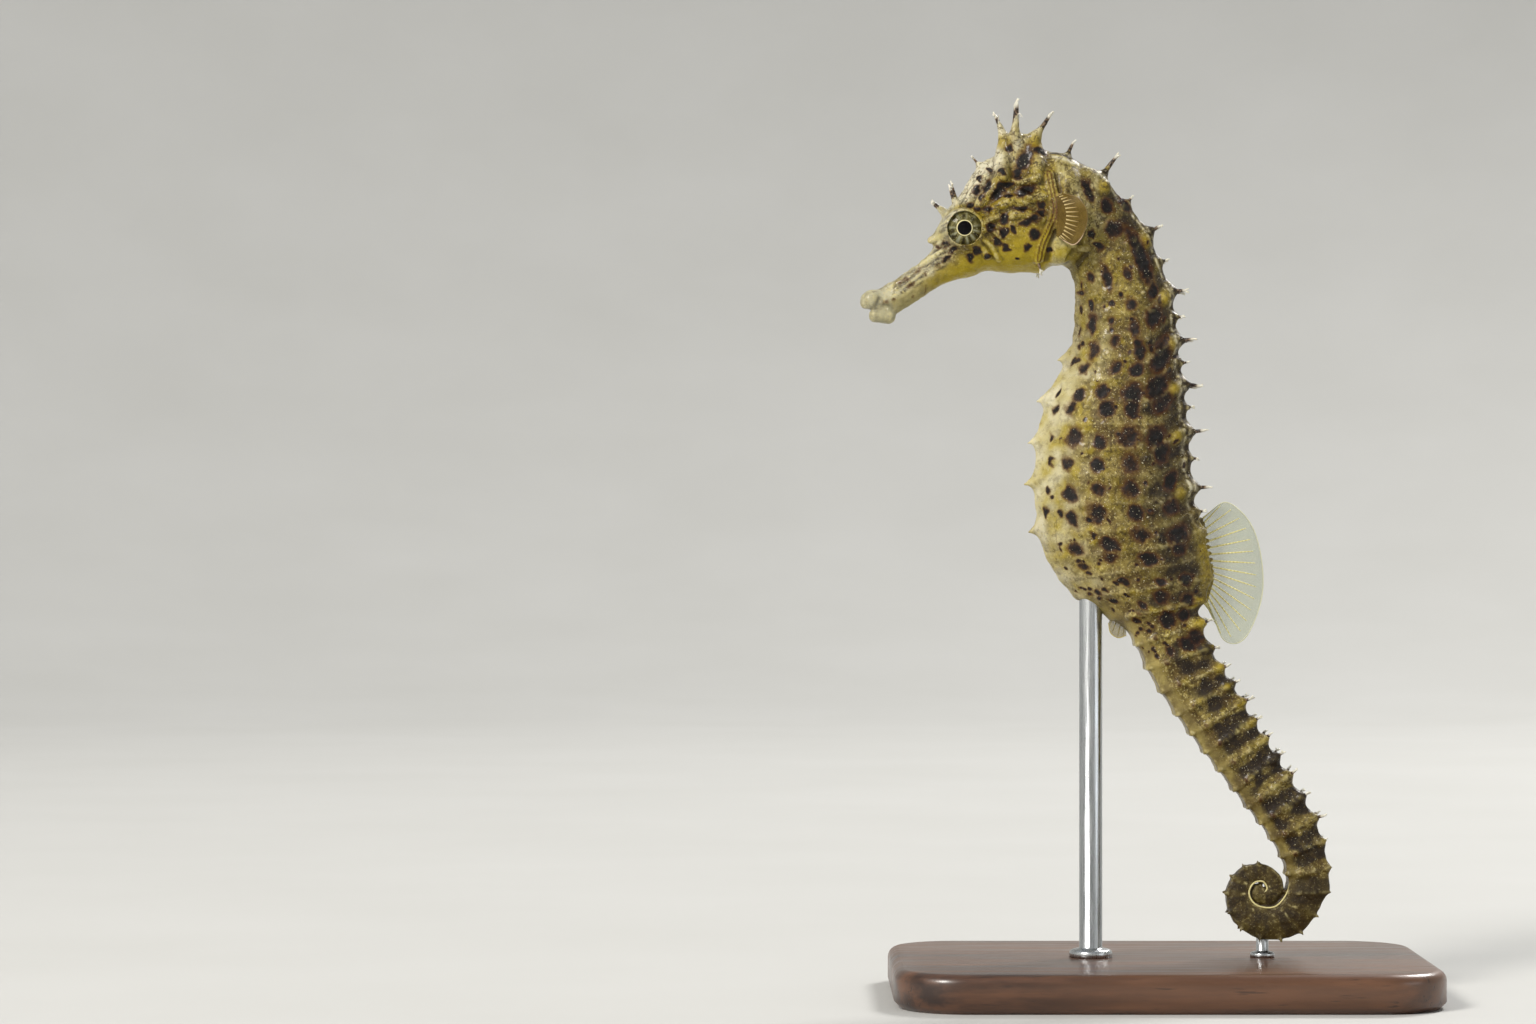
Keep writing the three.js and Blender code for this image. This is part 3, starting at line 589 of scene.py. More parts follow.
def box_mm(node):
    """Low and high corner of the box round a solid, in millimetres."""
    return [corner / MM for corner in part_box(node)]


def middle_and_half(node):
    """Middle of the box round a solid, and half its size along X, in millimetres."""
    low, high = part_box(node)
    return (low + high) / 2 / MM, (high - low).x / 2 / MM


EYE = {side: middle_and_half(f"eye_{side}")[0] for side in ("left", "right")}
EYE_RADIUS = middle_and_half("eye_left")[1]
# The swelling round an eye, as two places across the body and how much wider than the eye it is
# there, and the thin rim on it: its place, how much wider it is, and its thickness.
EYE_SWELLING = ((1.5, 0.55), (3.2, 0.45))
EYE_RIM = (3.6, 0.12, 0.2)
# Rings of the neck with tubercles, how high these sit (-1 belly, 1 back), how far past the ring,
# at which share of the half width, and their half sizes.
TUBERCLE_RINGS = (1, 14)
TUBERCLE_HEIGHT = 0.82
TUBERCLE_DROP = 0.7
TUBERCLE_SIDE = 0.66
TUBERCLE_HALVES = (0.85, 0.8, 0.95)
# Raised lines and knobs on both sides of the head, in the order they are laid on: radius, how
# proud they stand, blend, then points as x and z. A single point makes a knob.
HEAD_RELIEF = (
    # Two ribs climb from above the eye to a knob, and go on from there up to the coronet.
    (0.6, 0.55, 0.5, (-23.6, 102.6), (-22.3, 104.2), (-20.9, 105.6)),
    (0.5, 0.42, 0.5, (-25.0, 102.9), (-23.9, 104.7), (-22.6, 106.2)),
    (0.95, 0.6, 0.95, (-20.6, 105.8)),
    (0.4, 0.85, 0.4, (-20.6, 105.9)),
    (0.65, 0.6, 0.6, (-20.6, 106.4), (-20.6, 108.6), (-20.2, 110.2)),
    (0.6, 0.52, 0.6, (-16.3, 106.2), (-16.0, 108.6), (-16.4, 110.2)),
    (0.45, 0.46, 0.4, (-19.2, 105.4), (-17.6, 105.6), (-16.2, 106.0)),
    # Short folds that spread from the back and underside of the eye.
    (0.34, 0.4, 0.25, (-24.0, 97.5), (-23.1, 96.7), (-22.5, 95.9)),
    (0.24, 0.3, 0.25, (-22.9, 97.9), (-22.1, 97.1), (-21.3, 95.8)),
    (0.34, 0.4, 0.3, (-22.9, 100.2), (-21.9, 100.8), (-21.0, 101.1)),
    (0.26, 0.3, 0.3, (-23.0, 99.4), (-21.8, 99.2), (-20.9, 98.4)),
    (0.5, 0.42, 0.5, (-21.8, 102.0), (-19.6, 103.0), (-17.4, 102.9)),
    (0.4, 0.3, 0.4, (-19.8, 101.0), (-18.0, 101.3), (-15.6, 100.6)),
    (0.4, 0.3, 0.4, (-18.6, 104.3), (-17.0, 103.3), (-15.2, 103.6)),
    (0.4, 0.3, 0.4, (-22.5, 95.8)),
    (0.32, 0.3, 0.32, (-21.1, 95.5)),
    (0.45, 0.3, 0.45, (-21.8, 101.8)),
    (0.4, 0.3, 0.4, (-19.5, 99.9)),
    # Soft lumps between the gill cover and the nape.
    (1.2, 0.38, 1.2, (-11.7, 105.5)),
    (0.95, 0.38, 0.95, (-10.2, 103.4)),
    (1.1, 0.38, 1.1, (-9.0, 106.0)),
    (1.0, 0.38, 1.0, (-13.0, 108.3)),
    (0.9, 0.38, 0.9, (-8.6, 101.0)),
    # Long folds on the snout that start under the eye.
    (0.2, 0.12, 0.3, (-26.3, 96.9), (-28.9, 95.3), (-31.6, 93.4), (-34.6, 91.6)),
    (0.2, 0.1, 0.3, (-27.4, 97.3), (-29.6, 95.9), (-32.4, 93.9)),
)
GILL_LINE = smooth_line([
    (-14.6, 106.7), (-14.1, 103.8), (-13.9, 101.4), (-14.7, 99.2), (-15.5, 97.4), (-15.9, 95.4),
])
# The gill cover's edge has three raised lines: shift from GILL_LINE and how proud they stand.
# A groove runs behind them.
GILL_RIDGES = ((0.42, 0.26), (-0.02, 0.22), (-0.5, 0.16))
GILL_GROOVE = 0.95
# Folds between the throat and the neck: radius, depth, points.
THROAT_FOLDS = (
    (0.3, 0.14, (-12.2, 95.3), (-11.3, 96.8), (-10.4, 98.6)),
    (0.25, 0.1, (-11.3, 94.2), (-10.6, 95.2), (-9.6, 96.3)),
)
NOSTRILS = ((-28.5, 97.2), (-27.8, 97.6))
NOSTRIL_HALVES = (0.2, 0.3, 0.16)
# Egg-shaped forms: middle, half sizes, tilt up from +X, and blend.
UPPER_LIP = ((-37.5, 0, 90.35), (1.55, 1.45, 1.35), 0.58, 0.35)
MOUTH = ((-36.3, 0, 89.6), (1.5, 1.25, 1.2), 0.3, 0.5)
MOUTH_SLIT = ((-38.4, 0, 89.05), (1.0, 1.7, 0.14), 0.05, 0.25)
NOSE_BUMP = (
    ((-29.1, 0, 98.4), (1.2, 0.8, 0.62), 0.4, 0.5),
    ((-28.2, 0, 99.2), (0.9, 1.0, 1.2), -0.5, 0.6),
)
GILL_COVER = ((-18.2, 2.3, 99.6), (4.0, 2.35, 4.6), 0.3, 1.2)
THROAT_POUCH = ((-13.3, 2.2, 97.0), (1.9, 1.5, 2.0), 0.0, 1.4)
FIN_LOBE = ((-13.1, 4.0, 101.2), (0.75, 0.8, 2.7), 0.0, 0.6)
# The two rods of the lower lip: how far from the middle, ends, radii, blend.
LOWER_LIP_SIDE = 0.45
LOWER_LIP = ((-37.05, 88.3), (-35.3, 88.25), 0.8, 0.95, 0.35)
# Creases behind the upper and the lower lip, as depth and points, and the fold below the fin.
LIP_CREASES = (
    (0.06, (-36.3, 91.9), (-36.35, 90.9), (-36.6, 89.9), (-37.1, 89.1)),
    (0.08, (-36.7, 89.0), (-35.9, 89.45), (-35.0, 89.3), (-34.4, 88.6)),
)
FIN_FOLD = ((-13.0, 98.9), (-12.2, 97.9), (-10.8, 97.0), (-9.6, 96.9))
# The coronet's column: how far it is behind the middle of its solid, then height and radius of
# its foot and its top. Its ribs: where they start, their radii, and those of the points on them.
# The dish in its top: height and half sizes.
CORONET_BEHIND = 0.4
CORONET_FOOT, CORONET_TOP = (108.6, 2.2), (110.6, 1.75)
RIB_HEIGHT, RIB_SPREAD = 109.2, 0.8
RIB_RADII, POINT_RADII, POINT_SHARE = (0.95, 0.7), (0.68, 0.25), 0.62
DISH_HEIGHT, DISH_HALVES = 113.1, (1.6, 1.1, 1.7)
# The knobs that the dorsal fin's rays stand on: how deep they start, how proud they stand, radii.
RAY_KNOB = (0.5, 0.42, 0.42, 0.26)


def neck_tubercles():
    """Middles of the yellow tubercles on the neck, one below the foot of each long spine."""
    middles = []
    for ring in range(*TUBERCLE_RINGS, 2):
        station = station_at(CRESTS[ring] + TUBERCLE_DROP)
        sideways = TUBERCLE_SIDE * section_at(station)[0, 4]
        middles += [place_in(station, TUBERCLE_HEIGHT, side * sideways) for side in SIDES]
    return middles


def add_spine_root(volume, spine):
    """The fleshy foot of a spine, which the hard shaft or the blunt tip grows from."""
    point, out, length, kind, stout = spine

    def grow(start, end, start_radius, end_radius, blend):
        volume.join(capsule(point + start * out, point + end * out, start_radius, end_radius), blend)

    if kind == "thorn":
        grow(-0.6, 0.3, 0.6, 0.3, 1.5)
        grow(0.2, length, 0.3, 0.12, 0.4)
    elif kind == "nub":
        grow(-0.2, length, 0.27, 0.12, 0.3)
    elif kind == "superior":
        grow(-0.3, 0.36 * length, 0.42 + 0.14 * length, 0.22, 0.5 + 0.5 * length)
    elif kind in SPINES:
        grow(-0.4, 0.35 * length, 0.4, 0.16, 0.5)
    else:
        grow(-0.5, 0.4 * length, stout, 0.24, 0.7)


def along_sides(volume, line, lift):
    """End points of short rods on both sides of the body, along x and z, lifted off the skin."""
    rods = []
    for side in SIDES:
        points = [(x, side * (volume.side_at(x, z) + lift), z) for x, z in line]
        rods += list(zip(points[:-1], points[1:]))
    return rods


def ridge_on_side(volume, line, radius, proud, blend):
    for start, end in along_sides(volume, line, proud - radius):
        volume.join(capsule(start, end, radius, radius), blend)


def groove_on_side(volume, line, radius, depth, blend):
    """A groove on both sides, left out where the body is too thin for it."""
    lift = radius - depth
    for start, end in along_sides(volume, line, lift):
        if min(abs(start[1]), abs(end[1])) > 1.0 + lift:
            volume.carve(capsule(start, end, radius, radius), blend)


def knob(volume, x, z, radius, proud, blend):
    y = volume.side_at(x, z)
    for side in SIDES:
        volume.join(egg((x, side * (y + proud - radius), z), (radius, radius, radius)), blend)


def join_egg(volume, middle, halves, tilt, blend, side=1):
    x, y, z = middle
    volume.join(egg((x, side * y, z), halves, tilt), blend)


def shape_mouth(volume):
    """Two lips round a closed mouth, with the crease where each meets the snout."""
    join_egg(volume, *UPPER_LIP)
    (x0, z0), (x1, z1), start_radius, end_radius, blend = LOWER_LIP
    for side in SIDES:
        y = side * LOWER_LIP_SIDE
        volume.join(capsule((x0, y, z0), (x1, y, z1), start_radius, end_radius), blend)
    join_egg(volume, *MOUTH)
    middle, halves, tilt, blend = MOUTH_SLIT
    volume.carve(egg(middle, halves, tilt), blend)
    for depth, *line in LIP_CREASES:
        groove_on_side(volume, smooth_line(line), 0.2, depth, 0.3)


def shape_eye_rims(volume):
    for eye in EYE.values():
        side = math.copysign(1, eye.y)

        def at(y):
            return eye.x, side * y, eye.z

        (inner, inner_wider), (outer, outer_wider) = EYE_SWELLING
        swelling = capsule(at(inner), at(outer), EYE_RADIUS + inner_wider, EYE_RADIUS + outer_wider)
        volume.join(swelling, 1.0)
        rim, rim_wider, thickness = EYE_RIM
        volume.join(hoop(at(rim), EYE_RADIUS + rim_wider, thickness), 0.3)
        volume.carve(capsule(at(abs(eye.y)), at(abs(eye.y) + 3), EYE_RADIUS, EYE_RADIUS - 0.05), 0.1)


def shape_gill(volume):
    """The edge of the gill cover, with creases between its lines and a groove behind."""
    groove_on_side(volume, GILL_LINE + (GILL_GROOVE, 0), 0.4, 0.2, 0.4)
    for shift, proud in GILL_RIDGES:
        ridge_on_side(volume, GILL_LINE + (shift, 0), 0.2, proud, 0.12)


def shape_head(volume):
    shape_mouth(volume)
    for form in NOSE_BUMP:
        join_egg(volume, *form)
    for side in SIDES:
        join_egg(volume, *GILL_COVER, side)
        join_egg(volume, *THROAT_POUCH, side)
    for radius, proud, blend, *line in HEAD_RELIEF:
        if len(line) == 1:
            knob(volume, *line[0], radius, proud, blend)
        else:
            ridge_on_side(volume, smooth_line(line), radius, proud, blend)
    shape_gill(volume)
    for radius, depth, *line in THROAT_FOLDS:
        groove_on_side(volume, smooth_line(line), radius, depth, 0.4)
    shape_eye_rims(volume)
    for x, z in NOSTRILS:
        y = volume.side_at(x, z)
        for side in SIDES:
            volume.carve(egg((x, side * y, z), NOSTRIL_HALVES), 0.12)
    for side in SIDES:
        join_egg(volume, *FIN_LOBE, side)
    ridge_on_side(volume, smooth_line(FIN_FOLD), 0.3, 0.26, 0.3)


def shape_coronet(volume):
    """The crown: a waisted column with ribs that run up into five points round a dished top."""
    low, high = box_mm("coronet")
    x = (low.x + high.x) / 2 + CORONET_BEHIND
    (foot_z, foot_radius), (top_z, top_radius) = CORONET_FOOT, CORONET_TOP
    volume.join(capsule((x, 0, foot_z), (x - 0.1, 0, top_z), foot_radius, top_radius), 1.2)
    for spine in listed_spines(CORONET_SPINES):
        root = spine.point
        foot = np.array([x, 0, RIB_HEIGHT]) + RIB_SPREAD * (root - [x, 0, root[2]])
        volume.join(capsule(foot, root, *RIB_RADII), 0.7)
        volume.join(capsule(root, root + POINT_SHARE * spine.length * spine.out, *POINT_RADII), 0.6)
    volume.carve(egg((x + 0.1, 0, DISH_HEIGHT), DISH_HALVES), 0.6)


def shape_fin_root(volume):
    """A knobbly strip along the back that the rays of the dorsal fin stand on."""
    deep, proud, foot_radius, top_radius = RAY_KNOB
    for station in np.linspace(*DORSAL_FIN, DORSAL_RAYS):
        top = place_in(station, 1.0)
        out = unit(top - place_in(station, 0.9))
        volume.join(capsule(top - deep * out, top + proud * out, foot_radius, top_radius), 0.4)


def build_volume():
    points, quads, triangles = body_loft()
    volume = Volume(points.min(0) - ROOM_BELOW, points.max(0) + ROOM_ABOVE, points, quads, triangles)
    shape_head(volume)
    shape_coronet(volume)
    shape_fin_root(volume)
    for spine in body_spines() + coil_nubs() + keel_thorns() + listed_spines(HEAD_SPINES):
        add_spine_root(volume, spine)
    for middle in neck_tubercles():
        volume.join(egg(middle, TUBERCLE_HALVES), 0.8)
    return volume


# ---------------------------------------------------------------- where a point is on the body

# Steps towards a point's place, the longest step along and across, and the size in millimetres
# of the cells of points that start from the same sample.
NEWTON_STEPS = 5
LONGEST_ALONG, LONGEST_ACROSS = 0.4, 0.3
CELL = 0.5


def nearest_sample(points):
    """Rough station and height of points: those of the nearest of many samples of the body."""
    stations, heights = np.meshgrid(np.arange(0, LAST, 1 / 8), np.linspace(-1.1, 1.1, 12), indexing="ij")
    stations, heights = stations.ravel(), heights.ravel()
    samples = places_in(stations, heights)
    tree = kdtree.KDTree(len(samples))
    for i, sample in enumerate(samples):
        tree.insert(sample, i)
    tree.balance()
    cells, which = np.unique(np.round(points[:, [0, 2]] / CELL).astype(int), axis=0, return_inverse=True)
    nearest = np.array([tree.find((x * CELL, 0, z * CELL))[1] for x, z in cells])
    return stations[nearest][which], heights[nearest][which]


def body_coordinates(points):
    """Station and height (-1 to 1) of points, from their x and z, by Newton steps."""
    station, height = nearest_sample(points)
    for _ in range(NEWTON_STEPS):
        row, slope = catmull_rom(ROWS, station)
        share = ((height + 1) / 2)[:, None]
        across = (row[:, :2] - row[:, 2:4]) / 2
        along = slope[:, 2:4] + share * (slope[:, :2] - slope[:, 2:4])
        miss = points[:, [0, 2]] - (row[:, 2:4] + 2 * share * across)
        area = along[:, 0] * across[:, 1] - along[:, 1] * across[:, 0]
        area = np.where(np.abs(area) < 1e-3, 1e-3, area)
        forward = (miss[:, 0] * across[:, 1] - miss[:, 1] * across[:, 0]) / area
        upward = (along[:, 0] * miss[:, 1] - along[:, 1] * miss[:, 0]) / area
        station = np.clip(station + np.clip(forward, -LONGEST_ALONG, LONGEST_ALONG), 0, LAST)
        height = np.clip(height + np.clip(upward, -LONGEST_ACROSS, LONGEST_ACROSS), -1.6, 1.6)
    return station, height


# ---------------------------------------------------------------- markings

# Spots of the trunk: rise of the row, half-length along the body, half-width, strength.
SPOT_ROWS = (
    (0.08, 0.6, 0.3, 0.9),
    (0.21, 1.05, 0.9, 1.0),
    (0.40, 1.25, 1.1, 1.0),
    (0.61, 1.4, 1.25, 1.0),
    (0.82, 1.5, 1.3, 1.0),
)
SPOT_RINGS = (4, 21)
# How far spots stray along and across, their range of sizes, how large the area of the small
# dots is round each, and the dots' range of sizes.
SPOT_STRAY, SPOT_SIZES = (0.5, 0.4), (0.7, 1.2)
DOT_AREA, DOT_SIZES = (2.6, 2.2), (0.14, 0.38)
# Marks of the head and nape: x, z, half-length, half-width, lean from +X.
HEAD_MARKS = (
    # snout
    (-35.7, 90.1, 0.3, 0.2, 0.5), (-34.7, 90.4, 0.3, 0.2, 0.5), (-33.9, 92.7, 0.35, 0.25, 0.5),
    (-33.1, 93.1, 0.35, 0.25, 0.5), (-32.4, 92.3, 0.45, 0.25, 0.4), (-31.5, 94.3, 0.5, 0.3, 0.6),
    (-30.5, 93.7, 0.3, 0.2, 0.6), (-29.0, 94.6, 0.5, 0.25, 0.6), (-28.0, 95.6, 0.45, 0.25, 0.6),
    (-27.1, 96.5, 0.4, 0.25, 0.6), (-32.1, 90.8, 0.2, 0.2, 0.0), (-30.5, 91.7, 0.15, 0.4, 0.0),
    # round the eye
    (-29.0, 97.4, 0.25, 0.22, 0.0), (-27.8, 97.5, 0.34, 0.3, 0.0), (-24.8, 95.7, 0.34, 0.4, 0.0),
    (-23.9, 96.5, 0.42, 0.38, 0.0), (-22.6, 95.9, 0.34, 0.34, 0.0), (-24.9, 102.5, 0.32, 0.3, 0.0),
    (-23.9, 102.1, 0.3, 0.28, 0.0), (-22.5, 102.0, 0.42, 0.36, 0.0), (-22.2, 99.5, 0.42, 0.32, 0.2),
    # forehead and crown
    (-23.5, 105.9, 0.32, 0.36, 0.0), (-24.0, 104.5, 0.4, 0.42, 0.0), (-23.5, 103.4, 0.26, 0.34, 0.0),
    (-22.7, 104.8, 0.9, 0.24, 1.2), (-22.2, 107.1, 0.3, 0.3, 0.0), (-20.8, 106.7, 0.36, 0.36, 0.0),
    (-21.3, 104.1, 1.0, 0.5, 1.0), (-20.3, 105.0, 0.8, 0.3, 0.15), (-19.7, 109.9, 0.34, 0.3, 0.0),
    (-17.7, 108.5, 1.5, 0.65, 1.05), (-18.7, 106.5, 0.6, 0.4, 1.3), (-15.7, 109.6, 0.7, 0.4, -0.6),
    # cheek and gill cover
    (-20.5, 100.6, 0.42, 0.42, 0.0), (-20.5, 98.9, 0.46, 0.44, 0.0), (-21.4, 97.7, 0.55, 0.28, -0.6),
    (-20.2, 97.0, 0.5, 0.34, -0.6), (-19.9, 103.7, 0.42, 0.28, 0.0), (-19.4, 99.3, 0.36, 0.34, 0.0),
    (-17.7, 104.3, 1.1, 0.5, 0.5), (-18.2, 102.0, 0.8, 0.28, -0.15), (-15.6, 102.5, 0.46, 0.4, 0.5),
    (-15.7, 101.5, 0.42, 0.3, 0.3), (-17.1, 100.5, 1.1, 0.42, 0.35), (-16.5, 98.7, 0.58, 0.5, 0.0),
    (-17.5, 97.1, 0.4, 0.4, 0.0), (-18.6, 95.8, 0.18, 0.18, 0.0), (-14.5, 96.6, 0.28, 0.26, 0.0),
    # nape and front of the neck
    (-9.2, 98.7, 0.4, 0.3, -1.0), (-8.1, 97.2, 0.6, 0.38, -0.7), (-7.3, 95.2, 0.9, 0.3, -1.1),
    (-6.2, 99.4, 0.9, 0.8, 0.0), (-5.5, 96.2, 0.36, 0.34, 0.0), (-9.0, 93.6, 0.3, 0.28, 0.0),
    (-6.2, 92.8, 0.5, 0.42, -1.2), (-9.6, 104.4, 1.2, 0.45, -1.2), (-4.3, 95.0, 1.3, 0.5, -1.1),
    (-7.1, 102.3, 0.8, 0.5, -0.9), (-4.8, 102.6, 0.8, 0.35, -0.9), (-4.3, 97.6, 0.6, 0.35, -1.0),
)
# In the masks below, the two numbers of a smoothstep are where it starts and ends: a rise from
# 0 belly to 1 back, a place in millimetres, or noise from -1 to 1. Other numbers are shares.

# Golden knobs of the head, and the root of the pectoral fin, as x and z.
GOLD_KNOBS = ((-20.6, 105.5), (-21.9, 101.9), (-28.5, 98.7))
FIN_ROOT = (-13.1, 102.2)
# Distance of the dorsal fin's middle, and of one crease of the gill cover from the next.
FIN_MIDDLE = 51.5
CREASE_PITCH = 0.46


class Where:
    """Where each point of the skin is on the body, with the body's regions as masks from 0 to 1
    and some smooth random fields."""

    def __init__(self, points):
        self.x, self.y, self.z = points.T
        self.station, height = body_coordinates(points)
        self.distance = np.interp(self.station, LINE, DISTANCE)
        self.rise = (height + 1) / 2
        row = section_at(self.station)
        self.depth = np.linalg.norm(row[:, :2] - row[:, 2:4], axis=1)
        self.coarse = grain(points, 2.6, 1)
        self.medium = grain(points, 1.1, 2)
        self.fine = grain(points, 0.55, 3)
        self.rough_rise = self.rise + 0.05 * self.coarse + 0.04 * self.medium

        self.place = ring_place(self.distance + 0.35 * self.medium, self.rise)
        self.ring, self.off = ring_phase(self.place)
        self.turn = self.off / pitch_at(self.place)
        self.long_ring = np.mod(self.ring, 2) == 1
        self.between = 0.5 - 0.5 * np.cos(2 * np.pi * self.turn)

        self.head = self.fade(0.8, -0.6)
        self.body = 1 - self.head
        self.nape = self.fade(12, 8)
        self.trunk = self.body * self.fade(57, 53)
        self.tail = self.fade(53, 58)
        self.curl = self.fade(94, 102)
        self.straight_tail = self.tail * (1 - self.curl)
        self.upper_tail = self.tail * (1 - 0.75 * self.fade(68, 94))
        self.fin_foot = bell(self.distance - FIN_MIDDLE, 6) * smoothstep(0.88, 0.96, self.rise)
        self.off_fin = self.trunk * (1 - self.fin_foot)
        # Painted shade down the front of the neck.
        self.shaded_neck_front = self.trunk * smoothstep(0.5, 0.15, self.rise) * self.fade(28, 18) * self.fade(4, 9)
        self.snout = self.head * smoothstep(-25.5, -28.5, self.x)
        self.lips = smoothstep(-6.9, -6.0, -0.9 * self.x - 0.42 * self.z)
        self.tubercles = sum(self.near(x, z, 0.95) for x, y, z in neck_tubercles() if y < 0)

    def fade(self, start, end):
        """A mask over distance along the body, 0 at start and 1 at end."""
        return smoothstep(start, end, self.distance)

    def near(self, x, z, width):
        """A soft round patch about a point, on both sides of the body."""
        return bell(np.hypot(self.x - x, self.z - z), width)


def spot(along, across, length, width):
    """1 in the middle of an oval spot, 0.5 at its edge, falling softly to 0 outside."""
    away = np.sqrt((along / length) ** 2 + (across / width) ** 2)
    return smoothstep(1.75, 0.25, away)


def trunk_spots(w):
    """A dark spot in the middle of each plate, in rows, each side with its own unevenness."""
    rng = np.random.default_rng(SEED)
    dark = np.zeros(len(w.distance))
    rise = w.rise + 0.02 * w.medium
    place = w.place + 0.15 * w.fine
    for ring in range(*SPOT_RINGS):
        middle = (CRESTS[ring] + CRESTS[ring - 1]) / 2
        neck = smoothstep(9, 5, ring)
        lower_half = smoothstep(14, 18, ring)
        for row, length, width, strength in SPOT_ROWS:
            low = row < 0.3
            for side in SIDES:
                here = (w.y < 0) == (side < 0)
                drift = rng.normal(0, SPOT_STRAY)
                size = rng.uniform(*SPOT_SIZES) * (1 - (0.5 if row < 0.7 else 0.25) * neck)
                size *= 1 - (0.65 if low else 0.35) * lower_half
                along = (place - middle - drift[0]) / (1 + 1.1 * neck * (rng.random() < 0.4))
                across = (rise - row) * w.depth - drift[1]
                mark = spot(along, across, length * size, width * size) * strength * rng.uniform(0.75, 1.05)
                dark = np.maximum(dark, here * mark)
                # Small dots between the spots, more of them low on the belly.
                for _ in range(3 if low and ring > 14 else 1):
                    dot = rng.uniform(-0.5, 0.5, 2) * DOT_AREA
                    size = rng.uniform(*DOT_SIZES)
                    mark = spot(place - middle - dot[0], (rise - row - 0.08) * w.depth - dot[1], size, size)
                    dark = np.maximum(dark, here * 0.9 * mark)
    return dark


def head_spots(w):
    dark = np.zeros(len(w.distance))
    for x, z, length, width, lean in HEAD_MARKS:
        dx, dz = w.x + 0.4 * w.fine - x, w.z + 0.4 * w.medium - z
        along = dx * math.cos(lean) + dz * math.sin(lean)
        across = dz * math.cos(lean) - dx * math.sin(lean)
        dark = np.maximum(dark, spot(along, across, 1.25 * length, 1.35 * width))
    return dark


def all_spots(w):
    spots = np.maximum(trunk_spots(w) * w.body, head_spots(w) * w.nape)
    spots = spots * (0.5 + 0.5 * smoothstep(-30, -27, w.x))
    # Low on the tail, a small dark dot sits where each ring meets the lower ridge.
    dots = 0.5 * spot(w.off, (w.rise - 0.29) * w.depth, 0.34, 0.34)
    return np.maximum(spots, dots * w.straight_tail)


def line_offset(x, z, line):
    """Distance to the nearest point of a line of x and z, negative on its front side."""
    x0, z0 = line[:-1].T
    ax, az = np.diff(line, axis=0).T
    dx, dz = x[:, None] - x0, z[:, None] - z0
    t = np.clip((dx * ax + dz * az) / (ax * ax + az * az), 0, 1)
    away = np.hypot(dx - t * ax, dz - t * az)
    nearest = np.argmin(away, axis=1)[:, None]
    signed = -np.sign(dx * az - dz * ax) * away
    return np.take_along_axis(signed, nearest, axis=1)[:, 0]


def snout_streaks(w):
    """Long thin streaks on the upper half of the snout, from about -1 dark to 1 pale."""
    stretched = np.column_stack([w.distance * 0.35, w.rise * w.depth * 2.6, np.sign(w.y) * 3])
    streaks = grain(stretched, 0.8, 9) * smoothstep(-26.5, -29, w.x) * smoothstep(0.3, 0.5, w.rise)
    return streaks * (1 - w.lips)


def ash_patches(w):
    """Grey patches on the back, on the rings with long spines."""
    ash = w.trunk * smoothstep(0.62, 0.8, w.rough_rise) * bell(w.off, 0.8) * w.long_ring
    return ash * smoothstep(-0.3, 0.3, w.fine + 0.5 * w.medium)


def back_edges(w):
    """The pale edges of the back, scalloped by the rings with long spines."""
    arc = bell(w.off, 1.3) * w.long_ring
    edges = bell(w.rise - 0.945 - 0.03 * arc, 0.015) + 0.7 * bell(w.rise - 1.005, 0.014)
    return np.clip(w.off_fin * edges * smoothstep(-0.5, 0.0, w.fine), 0, 1)


def dark_bands(w, ash):
    """The dusky flanks and back of the trunk, partly their own dark colour and partly painted shade that
    deepens towards the back, and the blotched bands of the tail.
    """
    flank = smoothstep(0.38, 0.62, w.rough_rise) * smoothstep(-0.5, 0.4, w.coarse)
    back = smoothstep(0.62, 0.8, w.rough_rise) * (0.45 + 0.55 * w.between)
    on_trunk = w.trunk * (0.45 * flank + 0.95 * back) * w.fade(0, 9)
    pairs = 0.3 * np.cos(np.pi * (w.ring - w.turn))
    blotch = smoothstep(-0.2, 0.2, 0.6 * (w.between - 0.5) + 0.7 * w.coarse + 0.3 * w.medium + pairs)
    lower = w.fade(66, 88)
    on_tail = w.tail * (1 - 0.4 * w.curl) * blotch * smoothstep(0.32, 0.5, w.rough_rise + 0.2 * lower)
    speckle = 0.35 * lower * (1 - w.curl) * smoothstep(-0.4, 0.2, w.medium + 0.4 * w.fine)
    dusk_and_shade = np.clip(on_trunk + np.maximum(on_tail, speckle), 0, 1)
    return dusk_and_shade * (1 - w.fin_foot) * (1 - 0.65 * ash) * (1 - 0.9 * np.clip(w.tubercles, 0, 1))


def dusk_and_shade_mask(w, ash, edges, streaks):
    """All that is dusky or shaded: bands, the back between its pale edges, painted shade on the neck's
    front, and streaks.
    """
    dusk_and_shade = np.maximum(dark_bands(w, ash), w.off_fin * smoothstep(0.965, 0.975, w.rise)) * (1 - edges)
    dusk_and_shade = np.maximum(dusk_and_shade, 0.38 * w.shaded_neck_front)
    return np.maximum(dusk_and_shade, 0.6 * smoothstep(-0.05, -0.25, streaks) * smoothstep(1.0, 0.9, w.rise))


def lemon_mask(w):
    """Lemon patches on head and trunk, and on the rings of the tail."""
    ring_gold = w.upper_tail * bell(w.off, 0.6) * smoothstep(0.3, 0.45, w.rough_rise)
    patches = (1 - w.tail) * smoothstep(0.0, 0.4, w.coarse + 0.4 * w.medium) * 0.9
    lemon = ring_gold * smoothstep(-0.5, 0.3, w.medium) + patches
    return lemon + 0.7 * w.head + 0.6 * w.body * w.fade(30, 10)


